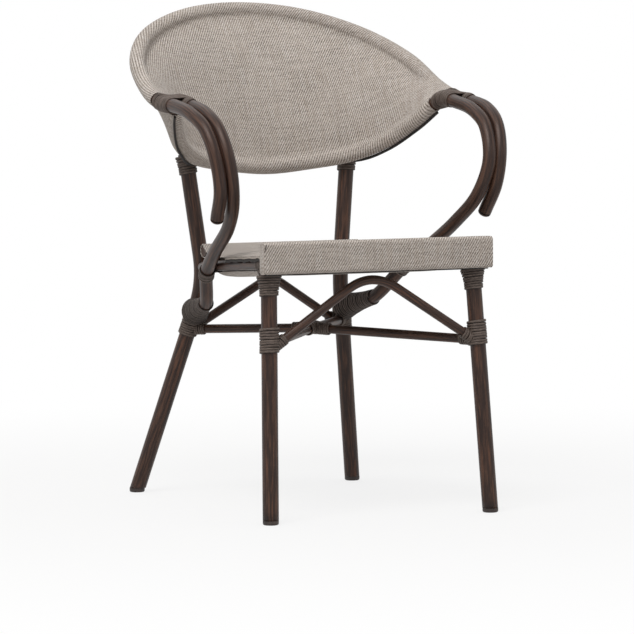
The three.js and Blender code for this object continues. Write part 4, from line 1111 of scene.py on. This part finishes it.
def addSeatBelt():
    outline = seatOutline()
    closed = outline + outline[:1]
    travel = [0.0]
    for a, b in zip(closed, closed[1:]):
        travel.append(travel[-1] + math.hypot(b[0] - a[0], b[1] - a[1]) * mm)
    rings, uvRings = [], []
    for way in evenShares(seatBelt["columns"] - 1):
        # columns lie closer together towards the sides
        share = math.sin((2 * way - 1) * math.pi / 2) * 0.6 + (2 * way - 1) * 0.4
        ring = []
        for y, middle, edge, half in outline:
            power = seatBelt["lipPower"] if edge > middle else seatBelt["sagPower"]
            ring.append(spot(share * half, y, between(middle, edge, abs(share) ** power)))
        rings.append(ring)
        uvs = [(share * station[3] * mm + 1, distance + 1) for station, distance in zip(closed, travel)]
        uvRings.append(list(zip(uvs, uvs[1:])))
    belt = closedSkin(rings, uvRings)
    thicken(belt, seatBelt["skin"])
    return belt


apronEnd = {
    "rounding": 5.5,
    "steepness": (40, 60),  # how fast the points pass the flat sides, along y and z
    # size of each ring as a share, and how far out it lies
    "shares": ((1.0, -1.2), (1.0, 0.0), (0.97, 0.5), (0.6, 1.0), (0.2, 1.2), (0.02, 1.2)),
}


def rounded(value, half, steepness):
    # one coordinate of a rectangle with round corners
    flat = min(abs(value) * steepness, half - apronEnd["rounding"])
    return math.copysign(flat + apronEnd["rounding"] * abs(value), value)


def addApronEnds():
    # the cloth folded over each end of the apron, slightly crowned
    pieces = []
    halfY, halfZ = apron["depth"] / 2, apron["height"] / 2
    steepY, steepZ = apronEnd["steepness"]
    for sign in (-1, 1):
        centre = spot(sign * apron["halfWidth"], apron["front"] + halfY, apron["top"] - halfZ)
        rings, uvRings = [], []
        for size, lift in apronEnd["shares"]:
            ring = []
            for k in range(40):
                angle = 2 * math.pi * k / 40
                y, z = rounded(math.cos(angle), halfY, steepY), rounded(math.sin(angle), halfZ, steepZ)
                ring.append(centre + Vector((sign * lift, y * size, z * size)) * mm)
            uvs = [(p.y + 1.3, p.z + 1) for p in ring]
            rings.append(ring)
            uvRings.append(list(zip(uvs, uvs[1:] + uvs[:1])))
        piece = closedSkin(rings, uvRings)
        editAll(piece)
        bpy.ops.mesh.select_all(action="DESELECT")
        bpy.ops.mesh.select_non_manifold()
        bpy.ops.mesh.edge_face_add()
        leaveEdit()
        faceOutward(piece)
        pieces.append(piece)
    return pieces


def addSeat():
    belt = addSeatBelt()
    seat = joinPieces([belt] + addApronEnds())
    smoothBelow(50)
    return finishPiece(seat, "seatFabric", "fabric", "seat_sleeve")


seatFabric = addSeat()
print("seat ready")


# Dark edge tapes, and the pale piping along the seat's sides

edgeTape = {
    "seatHeight": 5.6,
    "seatThickness": 1.6,
    "seatInset": 1.4,
    "piping": 2.8,
    "pipingInset": 0.5,
    "gap": 2.36,  # between the belt's edge and the tape, for the piping
    "step": 1.5,
    "upperDepth": 30,  # the belt's upper layer lies within this of the apron's top
    "wave": 0.8,
    # wider than the tape itself, so the dark band is partly the tape and partly painted shadow along its
    # edge
    "backWidth": 4.8,
    "backThickness": 4,
    "backGap": 0.2,
    "backTuck": 78,  # degrees that the tape turns under the rail at its middle
    "tuckSpan": (100, 185),
}


def wavy(travel):
    return edgeTape["wave"] * (math.sin(travel / 6.3) + 0.6 * math.sin(travel / 2.7 + 1))


def addSeatEdges():
    taped = [p for p in seatOutline() if apronBack <= p[0] <= seatBelt["tapeEnd"]]
    onTop = [p for p in taped if p[1] > apron["top"] - edgeTape["upperDepth"]]
    up = Vector((0, 0, 1))
    thick, tall, piping = edgeTape["seatThickness"], edgeTape["seatHeight"], edgeTape["piping"]
    for name, sign in sides:
        side = Vector((sign, 0, 0))
        tapeRings, pipingRings = [], []
        for before, after in zip(onTop, onTop[1:]):
            steps = max(1, round((after[0] - before[0]) / edgeTape["step"]))
            for share in evenShares(steps)[:-1]:
                y, edge, half = (between(before[i], after[i], share) for i in (0, 2, 3))
                below = edge - seatBelt["skin"]
                low = below - edgeTape["gap"] - tall / 2 + wavy(y)
                tape = spot(sign * (half - edgeTape["seatInset"]), y, low)
                cord = spot(sign * (half - edgeTape["pipingInset"]), y, below - piping / 2 + 0.5 * wavy(y))
                tapeRings.append(strandRing(tape, up, side, tall, thick))
                pipingRings.append(strandRing(cord, up, side, piping, piping))
        node = f"seat_edge_tape_{name}"
        finishPiece(strandPiece(tapeRings), f"seatTape_{name}", "edge", node)
        finishPiece(strandPiece(pipingRings), f"seatPiping_{name}", "edge", node, "piping")


def addBackEdge():
    end = bottomRail.toSetback(backSleeve["endSetback"], bottomRail.length / 2)
    start = bottomRail.length - end
    wide, thick = edgeTape["backWidth"], edgeTape["backThickness"]
    reach = backRails["radius"] + backSleeve["gap"] + backSleeve["skin"] + edgeTape["backGap"] + wide / 2
    rings = []
    for share in evenShares(240):
        distance = between(start, end, share)
        place, along = bottomRail.at(distance), bottomRail.along(distance)
        down = (Vector((0, 0, -1)) + along * along.z).normalized()
        back = down.cross(along)
        back = back if back.y > 0 else -back
        hidden = 1 - smoothShare(abs(place.x) / mm, *edgeTape["tuckSpan"])
        angle = math.radians(edgeTape["backTuck"]) * hidden
        away = down * math.cos(angle) + back * math.sin(angle)
        rings.append(strandRing(place + away * reach * mm, away, along.cross(away), wide, thick))
    finishPiece(strandPiece(rings), "backTape", "edge", "back_edge_strip")


apronSlit = {
    "start": (4, 0.1, 3),  # from the apron's left end, before its front and from its top
    "run": (4.2, 12),  # how far it goes out and down
    "width": (0.5, 1.6),
    "thickness": 0.8,
}


def addApronSlit():
    # the open edge of the fold at the top of the apron's left end
    aside, ahead, below = apronSlit["start"]
    out, down = apronSlit["run"]
    rings = []
    for share in evenShares(6):
        x, z = aside - apron["halfWidth"] - out * share, apron["top"] - below - down * share
        wide = between(*apronSlit["width"], math.sin(math.pi * min(1, share + 0.15)))
        place = spot(x, apron["front"] - ahead, z)
        rings.append(strandRing(place, Vector((1, 0, 0)), Vector((0, -1, 0)), wide, apronSlit["thickness"]))
    finishPiece(strandPiece(rings), "apronSlit", "edge", "seat_edge_tape_left")


addSeatEdges()
addBackEdge()
addApronSlit()
print("edges ready")


# Bindings: strip wound round the joints

packing = {"lift": 0.5, "steps": 20, "sides": 32}


def filledAt(line, start, end, radius, flare):
    # the packing under a flared winding, closed at both ends
    rings = []
    first = line.along(start * mm).orthogonal()
    angles = [2 * math.pi * i / packing["sides"] for i in range(packing["sides"])]
    for share in evenShares(packing["steps"]):
        distance = between(start, end, share) * mm
        place, along = line.at(distance), line.along(distance)
        first = (first - along * along.dot(first)).normalized()
        second = along.cross(first)
        reach = (radius + flare * share * share + packing["lift"]) * mm
        rings.append([place + (first * math.cos(a) + second * math.sin(a)) * reach for a in angles])
    return strandPiece(rings)


def windFlared(line, start, end, radius, flare, inset):
    # a flared winding over its packing, which starts an inset further on
    return [windRound(line, start, end, radius, flare), filledAt(line, start + inset, end, radius, flare)]


def finishBindings(name, node, partsAt):
    # one binding for each side, from the parts made for that side
    for side, sign in sides:
        finishPiece(joinPieces(partsAt(sign)), f"{name}_{side}", "strip", f"{node}_{side}")


joints = {
    "front": (271.5, 311),  # heights between which the leg is wound
    "rear": (272, 318),
    "legLift": 0.6,
    "braceTurns": (12, 34),  # distances from the leg's middle line between which it is wound
    "stretcherTurns": (12, 32),
    "crossingTurns": (2, 34),
    "crossingLift": 0.4,
    "armFlare": 10.5,
    "armStart": -4,
    "armTrim": 8,
    "armPacking": 6,
}


def jointParts(leg, heights, radius, brace, stretcher):
    # turns round a leg and round the ends of a brace and a stretcher on it
    low, high = (leg.toHeight(height) / mm for height in heights)
    return [
        windRound(leg, low, high, radius + joints["legLift"]),
        windRound(brace, *joints["braceTurns"], braces["radius"]),
        windRound(stretcher, *joints["stretcherTurns"], stretchers["radius"]),
    ]


def frontJointAt(sign):
    stretcher = longStretcher if sign > 0 else halfFrontLine
    brace = frontBrace.mirrored(-sign)
    return jointParts(legLine(sign), joints["front"], frontLegs["radius"], brace, stretcher)


def rearJointAt(sign):
    stretcher = halfRearLine if sign > 0 else Line(list(reversed(longStretcher.points)))
    brace = rearBrace.mirrored(-sign)
    parts = jointParts(postLine(sign), joints["rear"], posts["radius"], brace, stretcher)
    arm = Line([mirrored(spot(*arms[end]), sign) for end in ("lastBend", "end")])
    end = arm.length / mm - joints["armTrim"]
    return parts + windFlared(
        arm, joints["armStart"], end, arms["radius"], joints["armFlare"], joints["armPacking"],
    )


def addStretcherBinding():
    radius = stretchers["radius"] + joints["crossingLift"]
    lines = [Line([crossing, end]) for end in (longFront, longRear, halfFront, halfRear)]
    parts = [windRound(line, *joints["crossingTurns"], radius) for line in lines]
    finishPiece(joinPieces(parts), "crossingStrip", "strip", "stretcher_binding")


legTops = {
    "heights": (362, 399),
    "topTrim": 4,
    "flare": 5.6,
    "packing": 3,
    "railTurns": (4, 48),
    "gussetHeight": 380,
    "gussetShare": 0.85,
    "gussetRadius": 6.8,
}


def legTopAt(sign):
    leg, rail = legLine(sign), sideRail.mirrored(sign)
    low, high = (leg.toHeight(height) / mm for height in legTops["heights"])
    start, reach = legTops["railTurns"]
    gusset = Line([leg.atHeight(legTops["gussetHeight"]), rail.at(reach * mm)])
    gussetEnd = gusset.length / mm * legTops["gussetShare"]
    return windFlared(
        leg, low, high - legTops["topTrim"], frontLegs["radius"], legTops["flare"], legTops["packing"],
    ) + [
        windRound(rail, start, reach, sideRails["radius"]),
        windRound(gusset, start, gussetEnd, legTops["gussetRadius"]),
    ]


postTops = {"length": 34, "flare": 3.4, "trim": 3, "packing": 3}


def postTopAt(sign):
    post = postLine(sign)
    end = post.length / mm
    start = end - postTops["length"]
    return windFlared(
        post, start, end - postTops["trim"], posts["radius"], postTops["flare"], postTops["packing"],
    )


armTies = {"length": 24}


def armTieAt(sign):
    tie = mirrored(spot(*arms["tie"]), sign)
    half = armTies["length"] / 2
    parts = []
    for line, radius in ((innerArm, arms["radius"]), (sideRail, sideRails["radius"])):
        line = line.mirrored(sign)
        nearest = min(range(len(line.points)), key=lambda k: (line.points[k] - tie).length)
        middle = line.travel[nearest] / mm
        parts.append(windRound(line, middle - half, middle + half, radius))
    return parts


tipWinding = {
    "start": 276.5,
    "end": 207,
    "pairTurns": 10,
    "tailTurns": 3,
    "thickness": 2.6,
    "lift": 0.2,
    "wander": (0.09, 0.06),  # how unevenly the turns lie, in turns
    "sink": 0.9,  # how far the last turn at each mouth is drawn in
    "sinkTurns": (1.3, 0.6),  # turns before the mouth at which that begins and ends
    "steps": 48,
}


def slotPlace(middle, major, minor, half, radius, share):
    # a place on the slot shape round two centres, starting over their middle, and its way outward
    arc = math.pi * radius
    halfWay = arc + 2 * half
    travel = (share % 1) * 2 * halfWay
    if travel >= halfWay:
        travel, major, minor = travel - halfWay, -major, -minor
    if travel < half:
        return middle + major * travel + minor * radius, minor
    if travel < half + arc:
        angle = (travel - half) / radius
        outward = major * math.sin(angle) + minor * math.cos(angle)
        return middle + major * half + outward * radius, outward
    return middle + major * (halfWay - travel) - minor * radius, -minor


outerTipLine = smoothLine(topHalf[-4:] + outerRun)
innerTipLine = smoothLine(bottomHalf[-4:] + innerRun[:5])


def tipWindingAt(sign):
    w = tipWinding
    turns = w["pairTurns"] + w["tailTurns"]
    pitch = (w["start"] - w["end"]) / turns
    rings = []
    for i in range(turns * w["steps"] + 1):
        turn = i / w["steps"]
        setback = w["start"] - pitch * (turn + uneven(turn, *w["wander"]))
        pair = []
        for line in (outerTipLine, innerTipLine):
            distance = line.toSetback(setback, line.length * 0.02)
            pair.append((mirrored(line.at(distance), sign), mirrored(line.along(distance), sign)))
        (outer, outerAlong), (inner, innerAlong) = pair
        inTail = turn > w["pairTurns"]
        mouth = turns if inTail else w["pairTurns"]
        sink = w["sink"] * smoothShare(turn, *(mouth - before for before in w["sinkTurns"]))
        lift = (w["lift"] - sink + w["thickness"] / 2) * mm
        across = (outer - inner) * sign
        if inTail:
            # the tail goes round the right one of the two tubes
            middle, along = pair[0] if sign > 0 else pair[1]
            half, slant = 0.0, 1
            side = (across - along * across.dot(along)).normalized()
        else:
            middle, along = (outer + inner) / 2, (outerAlong + innerAlong).normalized()
            half, slant = across.length / 2, min(along.dot(outerAlong), along.dot(innerAlong))
            side = across.normalized()
        up = along.cross(side).normalized()
        radius = arms["radius"] * mm / slant + lift
        place, outward = slotPlace(middle, side, up, half, radius, turn)
        rings.append(strandRing(place, along, outward, pitch, w["thickness"]))
    return [strandPiece(rings)]


finishBindings("frontJointStrip", "front_joint_binding", frontJointAt)
finishBindings("rearJointStrip", "rear_joint_binding", rearJointAt)
addStretcherBinding()
finishBindings("legTopStrip", "front_leg_binding", legTopAt)
finishBindings("postTopStrip", "post_top_binding", postTopAt)
finishBindings("armTieStrip", "seat_arm_binding", armTieAt)
finishBindings("tipStrip", "arm_binding", tipWindingAt)
print("bindings ready")


# Carried-over CAD nodes and their materials

carriedOver = {
    "back_top_rail": "tube",
    "back_bottom_rail": "tube",
    "front_rail": "tube",
    "rear_rail": "tube",
    "apron_edge_strip": "edge",
}

for name, look in carriedOver.items():
    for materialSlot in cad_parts[name].material_slots:
        materialSlot.material = materials[look]


# Floor and studio light

studio = {
    "sky": 0.8,  # strength straight overhead
    "horizon": 0.16,
    "lamps": {  # place in metres, watts and size
        "keyLight": ((-2.0, -2.0, 4.6), 150, 2.2),
        "fillLight": ((3.4, -2.4, 2.4), 9, 2.0),
        "rimLight": ((0.4, 3.2, 3.6), 8, 1.6),
    },
    "aim": (0, 0, 0.45),  # what the lamps point at, in metres
    "floor": colour(212, 211, 210),
    "floorSpots": colour(206, 205, 204),
    "floorGlow": 0.8,  # share of plain white that the camera sees in the floor near the chair
    "fade": (0.5, 1.9),  # metres over which the floor turns plain white
}


def addFloor():
    bpy.ops.mesh.primitive_plane_add(size=60, location=(0, 0, 0))
    floor = bpy.context.object
    floor.name = "studioFloor"
    s = Shader("paleFloor")
    place = s.place("Object")
    tone = s.mix(s.noise(place, 3, 2) * 0.1, studio["floor"], studio["floorSpots"])
    s.finish(Base_Color=tone, Roughness=0.9)
    seen = s.seenPlain()
    x, y = s.parts(place)[:2]
    away = (x * x + y * y).math("SQRT")
    seen *= studio["floorGlow"] + (1 - studio["floorGlow"]) * s.softStep(away, *studio["fade"])
    glow = s.add("ShaderNodeEmission", None, {"Color": (1, 1, 1), "Strength": 1.0})
    both = s.add("ShaderNodeMixShader", None, {0: seen, 1: Wire(s, s.surface.outputs[0]), 2: glow})
    s.tree.links.new(both.socket, s.tree.nodes["Material Output"].inputs["Surface"])
    floor.data.materials.append(s.material)


def addLamps():
    for name, (place, power, size) in studio["lamps"].items():
        bpy.ops.object.light_add(type="AREA", location=place)
        lamp = bpy.context.object
        lamp.name = name
        lamp.data.energy = power
        lamp.data.size = size
        aim = Vector(studio["aim"]) - lamp.location
        lamp.rotation_euler = aim.to_track_quat("-Z", "Y").to_euler()


def addWorld():
    world = bpy.data.worlds.new("studioWorld")
    bpy.context.scene.world = world
    s = WorldShader(world)
    height = s.parts(s.place("Generated"))[2]
    seen = s.seenPlain()
    sky = studio["horizon"] + (studio["sky"] - studio["horizon"]) * s.softStep(height, 0.0, 0.8)
    s.finish(Strength=seen + (1 - seen) * sky, Color=(1, 1, 1))


addFloor()
addLamps()
addWorld()
bpy.context.scene.view_settings.view_transform = "Standard"
print("studio ready")
